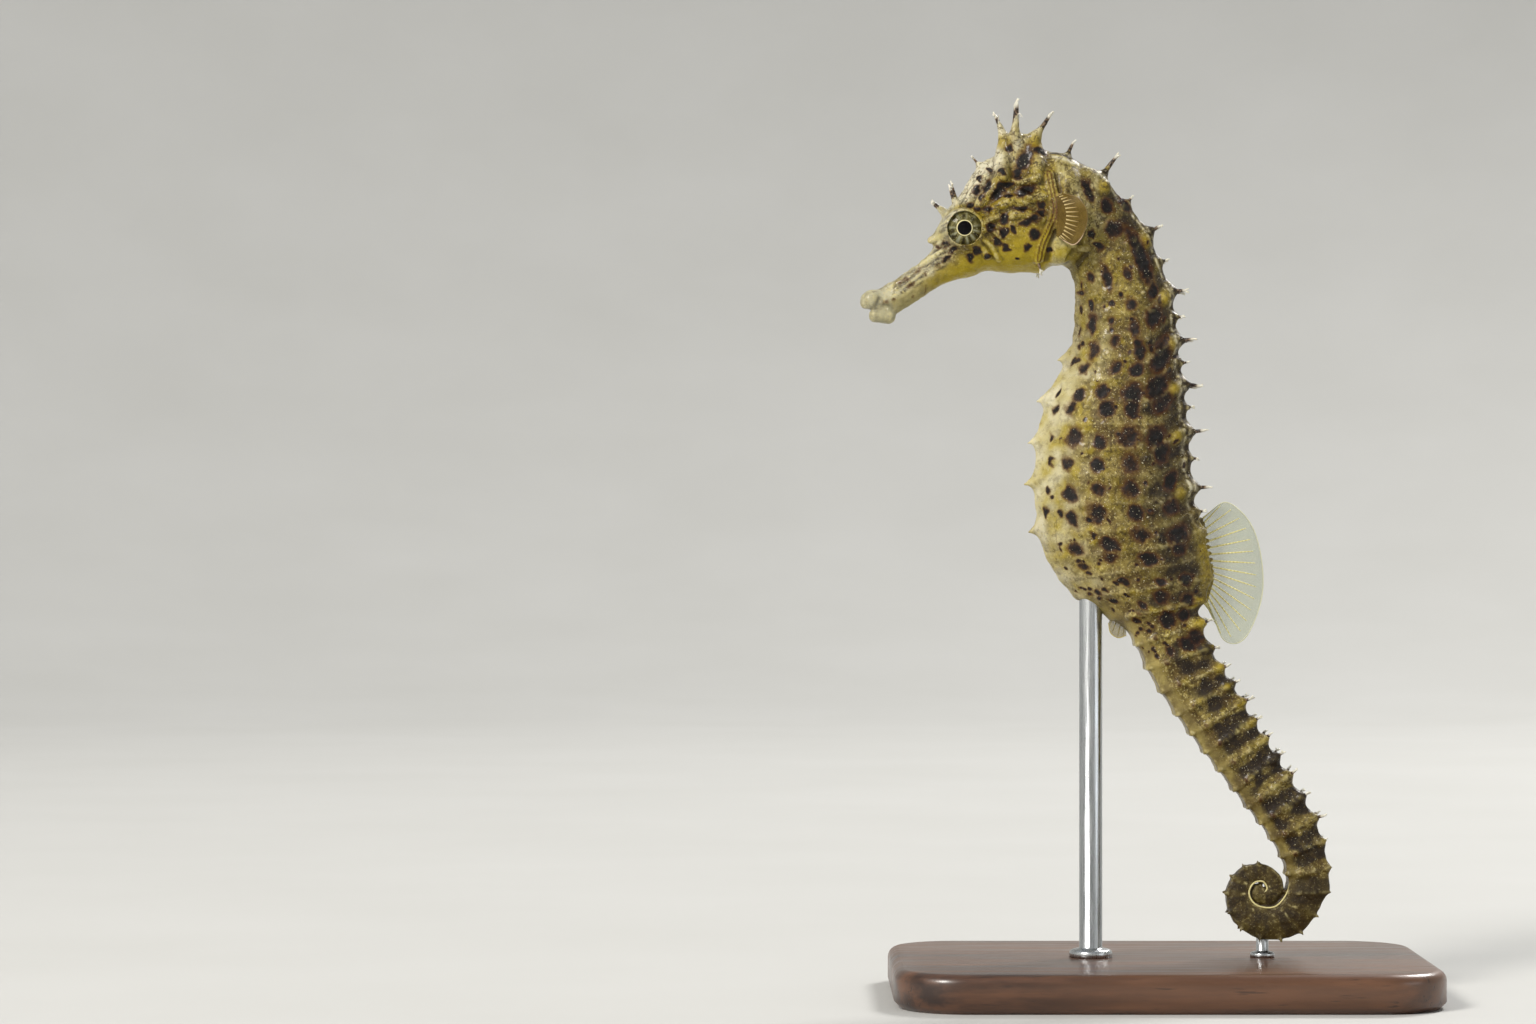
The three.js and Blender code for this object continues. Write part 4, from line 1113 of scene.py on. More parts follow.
def gold_mask(w):
    """Gold on tubercles, knobs, eyelid, coronet, spine feet and the foot of the dorsal fin."""
    spine_feet = w.upper_tail * bell(w.off, 0.7) * smoothstep(0.82, 0.92, w.rise)
    crown_gold = 1.3 * bell(w.z - 110.9, 1.3) * bell(np.abs(w.x + 18.4) - 2.0, 1.1)
    knobs = sum(w.near(x, z, 1.1) for x, z in GOLD_KNOBS)
    over_eye = w.z - EYE["left"].z
    eye_away = np.hypot(w.x - EYE["left"].x, over_eye)
    lid = bell(eye_away - 2.9, 0.45) * smoothstep(0.3, 0.9, over_eye / eye_away)
    fin_gold = w.fin_foot * (0.65 + 0.35 * smoothstep(-0.2, 0.3, w.fine))
    gold = 1.5 * w.tubercles + fin_gold + spine_feet + w.head * (crown_gold + 0.8 * knobs + lid)
    return np.clip(gold, 0, 1)


def marble_mask(w):
    """Fine dark veins on the upper head, the nape, the flanks and the straight tail."""
    upper = smoothstep(0.3, 0.5, w.rise)
    on_head = upper * smoothstep(-29, -26, w.x)
    marble = w.head * on_head + w.body * (0.4 * w.nape + 0.6 * w.trunk * upper)
    return marble + 0.8 * w.straight_tail * smoothstep(0.15, 0.3, w.rise)


def crest_mask(w, streaks):
    """Pale crests of the rings, and the pale streaks of the snout."""
    side = (0.2 + 0.8 * smoothstep(0.4, 0.6, w.rise)) * smoothstep(1.02, 0.92, w.rise)
    side = side * smoothstep(0.1, 0.25, w.rise)
    broken = smoothstep(-0.2, 0.35, w.fine) * smoothstep(-0.5, 0.3, w.medium)
    crest = w.body * bell(w.off, 0.2 + 0.25 * bell(w.rise - 0.74, 0.12)) * side * broken
    crest = crest * (1 - 0.6 * w.curl) * (1 - 0.4 * w.trunk)
    return np.clip(crest + smoothstep(0.05, 0.3, streaks), 0, 1)


def coil_ticks(w):
    """Short pale ticks on the inner edge of the coil."""
    across = smoothstep(0.5, 0.36, w.rise) * smoothstep(0.14, 0.2, w.rise)
    return 0.7 * w.curl * bell(w.off, 0.15) * across * smoothstep(0.0, 0.3, w.fine)


def belly_mask(w):
    belly = w.trunk * smoothstep(0.42, 0.1, w.rough_rise) * (1 - 0.7 * w.shaded_neck_front)
    return belly * (1 - 0.4 * w.fade(40, 50))


def throat_mask(w):
    throat = w.head * smoothstep(0.5, 0.15, w.rise + 0.04 * w.medium) * smoothstep(-32, -25, w.x)
    return np.maximum(throat, 0.75 * w.near(-12.9, 96.4, 2.2))


def gill_marks(w):
    """The gill cover's golden edge, its rusty creases, and the root of the fin behind it."""
    offset = line_offset(w.x, w.z, GILL_LINE)
    near_gill = bell(offset, 0.75) * w.nape
    creases = near_gill * smoothstep(-0.1, 0.8, -np.cos(2 * np.pi * (offset + 0.03) / CREASE_PITCH))
    root = bell(np.hypot((w.x - FIN_ROOT[0]) / 0.8, (w.z - FIN_ROOT[1]) / 2.2), 1.0) * w.nape
    return near_gill, creases, root


def markings(w):
    """Masks from 0 to 1 that the skin's material mixes its colours by."""
    ash, edges, streaks = ash_patches(w), back_edges(w), snout_streaks(w)
    first_gold, belly, throat = gold_mask(w), belly_mask(w), throat_mask(w)
    near_gill, creases, root = gill_marks(w)
    gold = np.clip(first_gold + 0.7 * near_gill, 0, 1) * (1 - 0.8 * root)

    nape_pale = w.nape * w.body * smoothstep(-0.2, 0.4, w.coarse) * smoothstep(97, 101, w.z)
    strip = w.straight_tail * smoothstep(0.22, 0.14, w.rise + 0.02 * w.medium)
    pale = belly + 0.2 * strip * w.upper_tail + 0.6 * w.head * smoothstep(-25, -31, w.x) + 0.8 * nape_pale

    # The snout: pale streaks above, plain below, greyish towards its tip.
    snout_half = smoothstep(0.35, 0.6, w.rough_rise)
    snout_top = w.snout * snout_half * (0.8 + 0.2 * smoothstep(-0.05, 0.2, streaks))
    snout_low = w.snout * smoothstep(0.5, 0.35, w.rough_rise)
    ashen = w.snout * np.maximum(0.55 * snout_half, 0.5 * smoothstep(-29, -33, w.x))

    # Pearly crown, keel and chalky belly, the grey of the back, and a painted highlight along the brow.
    brow_highlight = w.head * smoothstep(0.72, 0.92, w.rough_rise)
    brow_highlight = brow_highlight * smoothstep(-29, -27, w.x) * smoothstep(-19, -22, w.x)
    crown = w.head * smoothstep(106.5, 110, w.z + 0.8 * w.coarse) * smoothstep(-0.6, 0.2, w.coarse)
    keel = w.trunk * smoothstep(0.09, 0.03, w.rise)
    chalk = belly * smoothstep(0.1, -0.4, w.coarse + 0.4 * w.medium)
    pearl_and_highlight = snout_top + brow_highlight + 0.95 * crown + 0.2 * nape_pale + 0.3 * keel + 0.5 * ash
    pearl_and_highlight = (pearl_and_highlight + 0.9 * edges + 0.5 * chalk) * (1 - 0.8 * first_gold)

    plain = strip + throat + 0.7 * w.lips + snout_low + 0.8 * w.curl + 0.8 * belly + 0.6 * brow_highlight + 0.7 * gold
    return {
        "spot": all_spots(w),
        "dusk_and_shade": dusk_and_shade_mask(w, ash, edges, streaks),
        "gold": gold,
        "lemon": np.clip(lemon_mask(w), 0, 1),
        "marble": np.clip(marble_mask(w), 0, 1),
        "pale": np.clip(pale, 0, 1),
        "curl": w.curl,
        "crest": crest_mask(w, streaks),
        "throat": throat,
        "plain": np.clip(plain, 0, 1),
        "pearl_and_highlight": np.clip(pearl_and_highlight, 0, 1),
        "rust": np.clip(creases + 0.55 * root, 0, 1),
        "lips": np.maximum(w.lips, ashen),
        "inner_edge": coil_ticks(w),
    }


def surface_bend(points, quads):
    """Outward normals, and how deep each point lies in a hollow, in hundredths of a millimetre."""
    corners = points[quads]
    facing = np.cross(corners[:, 2] - corners[:, 0], corners[:, 3] - corners[:, 1])
    start, end = quads.ravel(), np.roll(quads, -1, 1).ravel()
    count = np.maximum(np.bincount(start, minlength=len(points)), 1)

    def gather(values):
        return np.column_stack([np.bincount(start, column, len(points)) for column in values.T])

    normal = gather(np.repeat(facing, 4, 0))
    normal /= np.maximum(np.linalg.norm(normal, axis=1, keepdims=True), 1e-9)
    normal *= np.sign((normal * (points - points.mean(0))).sum())
    mean = gather(points[end]) / count[:, None]
    depth = ((mean - points) * normal).sum(1, keepdims=True)
    for _ in range(4):
        depth = 0.5 * depth + 0.5 * gather(depth[end]) / count[:, None]
    return normal, 100 * depth[:, 0]


# ---------------------------------------------------------------- making meshes


class Mesh:
    """Points and faces gathered for one object, with named values at each point."""

    def __init__(self):
        self.points, self.faces, self.values, self.slots = [], [], {}, []
        self.count = 0

    def add(self, points, faces, slot=0, **values):
        points = np.asarray(points, float)
        for name in values:
            self.values.setdefault(name, [np.zeros(self.count)] if self.count else [])
        for name, parts in self.values.items():
            parts.append(np.broadcast_to(values.get(name, 0.0), len(points)).astype(float))
        self.faces += [tuple(v + self.count for v in face) for face in faces]
        self.slots += [slot] * len(faces)
        self.points.append(points)
        self.count += len(points)

    def make(self, name, *materials):
        mesh = bpy.data.meshes.new(name)
        mesh.from_pydata((np.vstack(self.points) * MM).tolist(), [], self.faces)
        for material in materials:
            mesh.materials.append(material)
        mesh.polygons.foreach_set("material_index", self.slots)
        mesh.polygons.foreach_set("use_smooth", [True] * len(self.faces))
        for value, parts in self.values.items():
            layer = mesh.attributes.new(value, "FLOAT", "POINT")
            layer.data.foreach_set("value", np.concatenate(parts).astype(np.float32))
        mesh.update()
        made = bpy.data.objects.new(name, mesh)
        bpy.context.scene.collection.objects.link(made)
        return made

    def make_piece(self, name, nodes, slot, *materials):
        """The finished object, riding on the root in place of its solids."""
        piece = self.make(name, *materials)
        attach(piece, "root")
        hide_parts(*nodes)


def angles(count):
    return 2 * math.pi * np.arange(count) / count


def quarter(steps):
    """Angles of a quarter turn, from 0 to its end."""
    return [math.pi / 2 * step / steps for step in range(steps + 1)]


def bands(rows, around):
    """Four-sided faces between rows of points that each go once round."""
    index = np.arange(rows * around).reshape(rows, around)
    after = np.roll(index, -1, 1)
    return np.stack([index[:-1], after[:-1], after[1:], index[1:]], 2).reshape(-1, 4).tolist()


def closed_bands(rows, around):
    end = (rows - 1) * around
    return bands(rows, around) + [list(range(around))[::-1], list(range(end, end + around))]


def tube(path, radii, sides=7):
    """A closed tube along points, as its points and faces."""
    path = np.asarray(path, float)
    radii = np.broadcast_to(radii, len(path))
    tangent = np.gradient(path, axis=0)
    tangent /= np.linalg.norm(tangent, axis=1, keepdims=True)
    spare = np.eye(3)[np.argmin(np.abs(tangent.mean(0)))]
    first = np.cross(tangent, spare)
    first /= np.linalg.norm(first, axis=1, keepdims=True)
    second = np.cross(tangent, first)
    angle = angles(sides)[:, None]
    ring = first[:, None] * np.cos(angle) + second[:, None] * np.sin(angle)
    points = (path[:, None] + radii[:, None, None] * ring).reshape(-1, 3)
    return points, closed_bands(len(path), sides)


def turned(profile, segments, x=0.0):
    """A profile of radius and height turned round an upright line at x."""
    r, z = np.repeat(np.array(profile), segments, axis=0).T
    angle = np.tile(angles(segments), len(profile))
    mesh = Mesh()
    mesh.add(np.column_stack([x + r * np.cos(angle), r * np.sin(angle), z]), bands(len(profile), segments))
    return mesh


# ---------------------------------------------------------------- hard spine shafts

# A back spine gets a shaft if it is longer than the first, and a thread too past the second.
SHAFT_FROM = 0.3
THREAD_FROM = 1.0
# Stations that the pale lower edge of the coil runs between, its share of the half width, and
# its height.
COIL_EDGE = (29.4, 37.9)
COIL_EDGE_SIDE = 0.79
COIL_EDGE_HEIGHT = -0.97


def alike(seed, point):
    """Random numbers, and the flip that makes a right-hand spine the mirror of its left-hand twin."""
    return np.random.default_rng(SEED + seed), np.array([1, math.copysign(1, point[1]), 1])


def spine_shaft(mesh, seed, point, out, length, thick):
    """A dark tapering shaft that bends a little, with a pale tip of two or three short prongs."""
    rng, flip = alike(seed, point)
    sag = rng.normal(0, 0.07, 3) * length * flip
    steps = np.linspace(0, 1, 8)
    path = point + np.outer(steps * length, out) + np.outer(steps ** 2, sag)
    points, faces = tube(path, 1.15 * thick * (1 - 0.4 * steps))
    share = np.repeat(steps, len(points) // len(steps))
    mesh.add(points, faces, shaft=smoothstep(0.1, 0.3, share), tip=smoothstep(0.72, 0.92, share))
    tip = path[-1]
    for _ in range(rng.integers(2, 4)):
        way = unit(out + rng.normal(0, 0.8, 3) * flip)
        reach = rng.uniform(0.2, 0.32) + 0.06 * length
        prong = [tip - 0.1 * out, tip + 0.55 * reach * way, tip + reach * (way + 0.35 * out)]
        mesh.add(*tube(prong, [0.7 * thick, 0.12, 0.08], 5), shaft=1.0, tip=1.0)


def thread(mesh, seed, point, out, length):
    """A fine pale thread of skin that curls away from a spine."""
    rng, flip = alike(seed, point)
    way = unit(out + rng.normal(0, 0.8, 3) * flip)
    curl = unit(np.cross(way, rng.normal(0, 1, 3)))
    steps = np.linspace(0, 1, 9)
    path = point + np.outer(steps * length, way) + np.outer(0.3 * length * np.sin(4.5 * steps) * steps, curl)
    mesh.add(*tube(path, 0.075 * (1 - 0.5 * steps), 5), shaft=0.8, tip=0.9)


def add_shafts(mesh):
    # Twins follow each other in the lists, so a pair shares one seed.
    backs = [spine for spine in body_spines() if spine.kind == "superior" and spine.length > SHAFT_FROM]
    for number, spine in enumerate(backs):
        spine_shaft(mesh, number // 2, spine.point, spine.out, spine.length, 0.15 + 0.06 * spine.length)
    for point, out, length, _, stout in listed_spines(HEAD_SPINES + CORONET_SPINES):
        spine_shaft(mesh, int(point[0] ** 2), point + 0.3 * length * out, out, 0.65 * length, 0.36 * stout)
    for point, out, length, _, _ in listed_spines(CORONET_SPINES):
        for number, share in enumerate((0.3, 0.5, 0.65)):
            seed = int(point[0] ** 2) + number
            thread(mesh, seed, point + share * length * out, out, 0.6 + 0.2 * number)
    for point, out, length, _, _ in backs:
        if length > THREAD_FROM:
            thread(mesh, int(point[2] ** 2), point + 0.15 * length * out, out, 0.55)


def add_coil_edges(mesh):
    """The pale lower edge of the tail, which shows as a fine spiral between the turns of the coil."""
    first, last = COIL_EDGE
    stations = np.linspace(first, last, 160)
    half = section_at(stations)[:, 4]
    radii = 0.1 * smoothstep(first, first + 1, stations) * smoothstep(last, last - 0.6, stations) + 0.02
    for side in SIDES:
        path = places_in(stations, COIL_EDGE_HEIGHT, side * (COIL_EDGE_SIDE * half + 0.02))
        mesh.add(*tube(path, radii), inner_edge=1.0)


# ---------------------------------------------------------------- material tools


def linear(code):
    """A colour written as six hex digits, as linear red, green, blue and alpha."""
    parts = [int(code[i:i + 2], 16) / 255 for i in (0, 2, 4)]
    return tuple(p / 12.92 if p <= 0.04045 else ((p + 0.055) / 1.055) ** 2.4 for p in parts) + (1.0,)


class Shader:
    """A material's node tree, built up from small steps over one colour."""

    def __init__(self, name, colour=None):
        self.material = bpy.data.materials.new(name)
        self.material.use_nodes = True
        self.tree = self.material.node_tree
        self.principled = self.tree.nodes["Principled BSDF"]
        self.colour = colour

    def node(self, kind, inputs, **settings):
        """A new node, with values or sockets for its inputs by name or number."""
        made = self.tree.nodes.new(kind)
        for key, value in settings.items():
            setattr(made, key, value)
        for socket, value in inputs.items():
            self.plug(value, made.inputs[socket])
        return made

    def plug(self, value, socket):
        if isinstance(value, bpy.types.NodeSocket):
            self.tree.links.new(value, socket)
        else:
            socket.default_value = value

    def make(self, **values):
        """The material, with the shader's own sockets set, named with _ for each space."""
        for name, value in values.items():
            self.plug(value, self.principled.inputs[name.replace("_", " ")])
        return self.material

    def noise(self, size, detail=3.0, roughness=0.5, stretch=(1, 1, 1)):
        """Noise with features about size millimetres across."""
        place = self.node("ShaderNodeTexCoord", {}).outputs["Object"]
        stretched = self.node("ShaderNodeMapping", {"Vector": place, "Scale": stretch}).outputs["Vector"]
        inputs = {"Vector": stretched, "Scale": 1 / (size * MM), "Detail": detail, "Roughness": roughness}
        return self.node("ShaderNodeTexNoise", inputs).outputs["Fac"]

    def math(self, operation, a, b=0.0):
        return self.node("ShaderNodeMath", {0: a, 1: b}, operation=operation).outputs[0]

    def product(self, first, *others):
        """The product of sockets, numbers and attributes given by name."""
        if isinstance(first, str):
            first = self.node("ShaderNodeAttribute", {}, attribute_name=first).outputs["Fac"]
        for other in others:
            first = self.math("MULTIPLY", first, other)
        return first

    def spread(self, value, low, high, to_low=0.0, to_high=1.0):
        inputs = {"Value": value, "From Min": low, "From Max": high, "To Min": to_low, "To Max": to_high}
        return self.node("ShaderNodeMapRange", inputs, interpolation_type="SMOOTHSTEP").outputs["Result"]

    def patches(self, size, low, high, detail=3, roughness=0.5, to_low=0.0, to_high=1.0):
        """Noise spread to soft-edged patches."""
        return self.spread(self.noise(size, detail, roughness), low, high, to_low, to_high)

    def mix(self, factor, a, b):
        a, b = (linear(colour) if isinstance(colour, str) else colour for colour in (a, b))
        return self.node("ShaderNodeMix", {0: factor, 6: a, 7: b}, data_type="RGBA").outputs[2]

    def lay(self, colour, *factors):
        """Lay a colour over what is there, as thick as the product of the factors."""
        self.colour = self.mix(self.product(*factors), self.colour, colour)

    def bump(self, height, strength, size, normal=None):
        """A bump from a height of 0 to 1 that stands for size millimetres."""
        inputs = {"Strength": strength, "Distance": size * MM, "Height": height}
        if normal is not None:
            inputs["Normal"] = normal
        return self.node("ShaderNodeBump", inputs).outputs["Normal"]


# ---------------------------------------------------------------- materials

# Grain of the skin: size, detail, roughness, strength and height of each bump, finest first.
SKIN_BUMPS = ((0.13, 3, 0.6, 0.5, 0.05), (0.26, 4, 0.6, 0.7, 0.11), (0.9, 3, 0.5, 0.5, 0.25))
# Wet skin looks deeper in colour than dry skin.
WET_DEPTH = 1.3


def skin_material():
    s = Shader("seahorse_skin")
    s.colour = s.mix(s.patches(2.4, 0.35, 0.65, 4), "6e5d30", "a09258")
    s.lay("c6be92", "pale", 0.75)
    s.lay("aa9a30", "lemon", s.patches(1.3, 0.25, 0.6), 0.75)
    s.lay("a3911f", "gold", s.patches(1.0, 0.2, 0.55, to_low=0.3))
    s.lay("b5a42c", "throat", 0.9)
    # Pearly whites, and a painted highlight along the brow.
    s.lay("d9d5c3", "pearl_and_highlight", 0.85)
    s.lay("aca993", "lips", 0.85)
    s.lay("4a3d1a", "curl", 0.85)

    # Mottles and flecks where the skin isn't plain, painted shade in the hollows, a painted highlight on the
    # raised ridges, and veins.
    busy = s.math("SUBTRACT", 1.0, s.product("plain", 0.8))
    s.lay("4c3a14", s.patches(1.7, 0.5, 0.64, 4, 0.55), busy, 0.4)
    s.lay("4c3c18", s.patches(0.7, 0.5, 0.64, 4, 0.6), busy, 0.65)
    s.lay("d3c892", s.patches(0.34, 0.54, 0.66, 3, 0.6), busy, 0.6)
    s.lay("3a2b12", "hollow_shade", 0.5)
    s.lay("d9d0a6", "ridge", s.patches(0.5, 0.35, 0.65, to_low=0.05, to_high=0.5))
    swirl = s.math("ABSOLUTE", s.math("SUBTRACT", s.noise(1.5, 3, 0.6), 0.5))
    s.lay("42300f", "marble", s.spread(swirl, 0.035, 0.0), 0.7)
    # Dusky bands and back, with painted shade up the flanks and down the front of the neck.
    s.lay("2b1d10", "dusk_and_shade", s.patches(1.2, 0.25, 0.55, 4, 0.65, to_low=0.45), 0.95)
    s.lay("bda66a", s.patches(0.3, 0.58, 0.74, 3, 0.7), busy, 0.45)

    # Spots with a brown rim, a red-brown ring and a black middle, then creases and pale crests.
    edge = s.product("spot", s.patches(0.6, 0.3, 0.7, 4, 0.6, to_low=0.75, to_high=1.2))
    s.lay("6b450c", s.spread(edge, 0.02, 0.5, 0.0, 0.6))
    s.lay("3a1a0b", s.spread(edge, 0.25, 0.7, 0.0, 0.85))
    s.lay("100805", s.spread(edge, 0.45, 0.95, 0.0, 0.95))
    s.lay("653a1c", "rust", 0.8)
    s.lay("d2c88f", "crest", 0.35)
    # Painted glints: tiny pale highlights scattered where the skin isn't plain.
    s.lay("f2ecd4", s.patches(0.22, 0.67, 0.73, 2), busy, 0.6)
    s.lay("d8cfa0", "inner_edge")
    s.lay(s.mix(s.patches(0.3, 0.4, 0.65, 2), "2e2019", "8d7a66"), "shaft")
    s.lay("e2dfd2", "tip")
    deep = s.node("ShaderNodeGamma", {"Color": s.colour, "Gamma": WET_DEPTH}).outputs["Color"]

    normal = None
    for size, detail, roughness, strength, height in SKIN_BUMPS:
        normal = s.bump(s.noise(size, detail, roughness), strength, height, normal)
    return s.make(
        Base_Color=deep, Roughness=s.patches(0.6, 0.3, 0.7, to_low=0.34, to_high=0.55), Normal=normal,
        Specular_IOR_Level=0.22, Coat_Weight=0.3, Coat_Roughness=0.1, Coat_IOR=1.3,
        Subsurface_Weight=0.12, Subsurface_Scale=0.5 * MM, Subsurface_Radius=(1.0, 0.7, 0.4),
    )


def eye_material():
    s = Shader("seahorse_eye")
    s.colour = s.mix(s.patches(0.5, 0.3, 0.7), "45401f", "726b3f")
    s.lay("989a82", "beam", 0.75)
    s.lay("241e12", "spoke", 0.9)
    s.lay("c9c39c", s.patches(0.16, 0.6, 0.7, 2), 0.4)
    s.lay("d9cf9f", "gold_ring")
    s.lay("050306", "pupil")
    normal = s.bump(s.noise(0.2), 0.15, 0.04)
    return s.make(
        Base_Color=s.colour, Roughness=0.4, Normal=normal,
        Specular_IOR_Level=0.05, Coat_Weight=0.15, Coat_Roughness=0.04,
    )


def fin_web_material(name, colour, patch, alpha):
    s = Shader(name)
    tint = s.mix(s.patches(0.9, 0.3, 0.7, to_high=0.6), colour, patch)
    normal = s.bump(s.noise(0.4), 0.3, 0.05)
    return s.make(Base_Color=tint, Roughness=0.4, Alpha=alpha, Normal=normal, Specular_IOR_Level=0.15)


def fin_ray_material(name, dark, light):
    s = Shader(name, light)
    s.lay(dark, "joint")
    return s.make(Base_Color=s.colour, Roughness=0.4, Normal=s.bump(s.noise(0.3), 0.3, 0.05))


def wood_material():
    """Dark wood with its grain along X."""
    s = Shader("stand_wood")
    lines = s.noise(2.2, 6, 0.62, (0.12, 1, 1))
    pores = s.spread(s.noise(0.5, 2, 0.5, (0.08, 1, 1)), 0.62, 0.72)
    s.colour = s.mix(s.spread(lines, 0.35, 0.68), "2a1810", "5b3a25")
    s.lay("6f4a30", s.spread(s.noise(14.0, 3, 0.5, (0.15, 1, 1)), 0.35, 0.65, 0.0, 0.5))
    s.lay("1a0f0a", pores, 0.6)
    return s.make(
        Base_Color=s.colour, Roughness=s.spread(lines, 0.3, 0.7, 0.32, 0.48),
        Normal=s.bump(lines, 0.15, 0.1, s.bump(pores, 0.25, -0.08)),
        Coat_Weight=0.35, Coat_Roughness=0.2,
    )


def steel_material():
    """Steel with fine marks of turning."""
    s = Shader("stand_steel")
    brushed = s.noise(0.25, 3, 0.6, (1, 1, 0.04))
    return s.make(
        Base_Color=s.mix(brushed, "a9adb1", "cfd2d4"), Metallic=1.0,
        Roughness=s.spread(brushed, 0.3, 0.7, 0.2, 0.36), Normal=s.bump(brushed, 0.12, 0.02),
    )


def floor_material():
    s = Shader("studio_floor")
    return s.make(Base_Color=s.mix(s.noise(60.0), "b8b8b5", "c0c0be"), Roughness=0.7)


# ---------------------------------------------------------------- pieces of the animal

FLESH = ["snout", "head", "coronet", "neck", "chest", "belly"] + [f"tail_{i}" for i in range(1, 8)]
# Dark ovals on the upper half of the iris: angle in turns, distance from the middle, size.
IRIS_SPOTS = ((0.26, 1.62, 0.3), (0.13, 1.6, 0.32), (0.39, 1.75, 0.26), (0.53, 1.55, 0.24), (0.6, 1.85, 0.3))
SPOKES = 11
# Radii of the pupil and of the pale ring round it.
PUPIL, PALE_RING = 0.92, 1.04
# Radius that the front of the eye is curved to, flatter than a ball, and points once round it.
LENS_CURVE = 3.3
EYE_SEGMENTS = 96
# Thickness to each side of a fin's web at its root, and how much thinner its edge is.
WEB_THICK, WEB_TAPER = 0.07, 0.035
# Points of a web across each ray and outwards, points along a ray and along the rim, and the
# sides of both.
WEB_ACROSS, WEB_OUT = 6, 24
RAY_STEPS, RIM_STEPS, RAY_SIDES = 40, 90, 6
JOINTS_PER_RAY = 14
RIM_THICK = 0.06
# The dorsal fin's edge from its front to its back end.
DORSAL_OUTLINE = (
    (6.2, 0, 62.6), (8.7, 0, 64.1), (11.7, 0, 61.4), (13.2, 0, 56.6),
    (13.2, 0, 51.4), (11.0, 0, 46.4), (8.3, 0, 46.2), (6.6, 0, 50.2),
)
# The pectoral fin, round the middle of its root, before it is turned out by the flare.
PECTORAL_ROOT = ((-0.4, 0, 2.5), (-0.25, 0, 0), (-0.4, 0, -2.6))
PECTORAL_EDGE = ((0.6, 0, 2.9), (2.6, 0, 2.2), (3.7, 0, 0.2), (3.3, 0, -2.2), (2.0, 0, -3.7), (0.5, 0, -3.1))
PECTORAL_PLACE = (-13.4, 4.95, 101.0)
PECTORAL_FLARE = 0.32
PECTORAL_RAYS = 14
ANAL_ROOT = ((-6.2, 0, 49.7), (-4.4, 0, 48.0))
ANAL_EDGE = ((-6.7, 0, 48.4), (-6.4, 0, 47.1), (-5.4, 0, 46.5), (-4.4, 0, 46.8))
ANAL_RAYS = 4


def make_skin():
    points, quads = build_volume().surface()
    where = Where(points)
    masks = markings(where)
    normal, depth = surface_bend(points, quads)
    # A painted highlight on the raised ridges and painted shade in the hollows, both from how the surface
    # bends.
    masks["ridge"] = smoothstep(-0.3, -1.2, depth) * (1 - 0.8 * masks["gold"])
    masks["hollow_shade"] = smoothstep(0.15, 1.0, depth) * smoothstep(-35.5, -33.5, where.x)
    knobbly = (0.09 * where.medium + 0.06 * where.fine) * (1 - 0.6 * masks["plain"])
    mesh = Mesh()
    mesh.add(points + normal * knobbly[:, None], quads.tolist(), shaft=0.0, tip=0.0, **masks)
    add_shafts(mesh)
    add_coil_edges(mesh)
    mesh.make_piece("skin", FLESH, "skin", skin_material())


def iris_pattern(r, a):
    """Dark spokes with dark ovals, and pale beams, of the iris at radii and angles."""
    strength = 0.35 + 0.65 * smoothstep(0.3, -0.4, np.sin(a))
    wave = np.cos(SPOKES * a + 0.7 * np.sin(2 * a + 0.5) + 0.5 * np.sin(5 * a))
    spoke = smoothstep(0.25, 0.9, wave) * smoothstep(1.15, 1.4, r) * smoothstep(2.25, 1.9, r) * strength
    for place, middle, size in IRIS_SPOTS:
        off = (a / (2 * math.pi) - place + 0.5) % 1 - 0.5
        spoke = np.maximum(spoke, spot(off * 2 * math.pi * middle, r - middle, size, 0.8 * size))
    beam = smoothstep(0.3, 0.9, -wave) * smoothstep(1.05, 1.2, r) * smoothstep(2.3, 2.0, r)
    return spoke, beam * (0.4 + 0.6 * smoothstep(0.3, -0.4, np.sin(a)))


def make_eye(side, material):
    """An eyeball with a dark pupil, a thin pale ring and an iris of spokes and spots."""
    out = math.copysign(1, EYE[side].y)
    front = [0, 0.3, 0.6, PUPIL - 0.02, PUPIL + 0.02, PALE_RING - 0.02, PALE_RING + 0.02]
    front += list(np.linspace(1.1, 2.2, 20)) + [EYE_RADIUS]
    back = np.array(front[-2:3:-1])
    rise = [math.sqrt(LENS_CURVE ** 2 - r * r) - LENS_CURVE + EYE_RADIUS for r in front]
    rise = np.concatenate([rise, -np.sqrt(EYE_RADIUS ** 2 - back ** 2)])
    y = out * np.repeat(rise, EYE_SEGMENTS)
    r = np.repeat(np.concatenate([front, back]), EYE_SEGMENTS)
    a = np.tile(angles(EYE_SEGMENTS), len(rise))
    spoke, beam = iris_pattern(r, a)
    points = np.column_stack([r * np.cos(a), y, r * np.sin(a)]) + EYE[side]
    faces = bands(len(rise), EYE_SEGMENTS)
    if out > 0:
        faces = [face[::-1] for face in faces]
    mesh = Mesh()
    mesh.add(points, faces, pupil=r < PUPIL, gold_ring=(PUPIL < r) & (r < PALE_RING), spoke=spoke, beam=beam)
    mesh.make_piece(f"eye_{side}_ball", [f"eye_{side}"], "eye", material)


def evenly_along(control):
    """A smooth curve through points, as a function of the share of its length."""
    dense = smooth_line(control, 24)
    travelled = np.concatenate([[0], np.cumsum(np.linalg.norm(np.diff(dense, axis=0), axis=1))])
    return lambda t: np.column_stack([np.interp(t * travelled[-1], travelled, column) for column in dense.T])


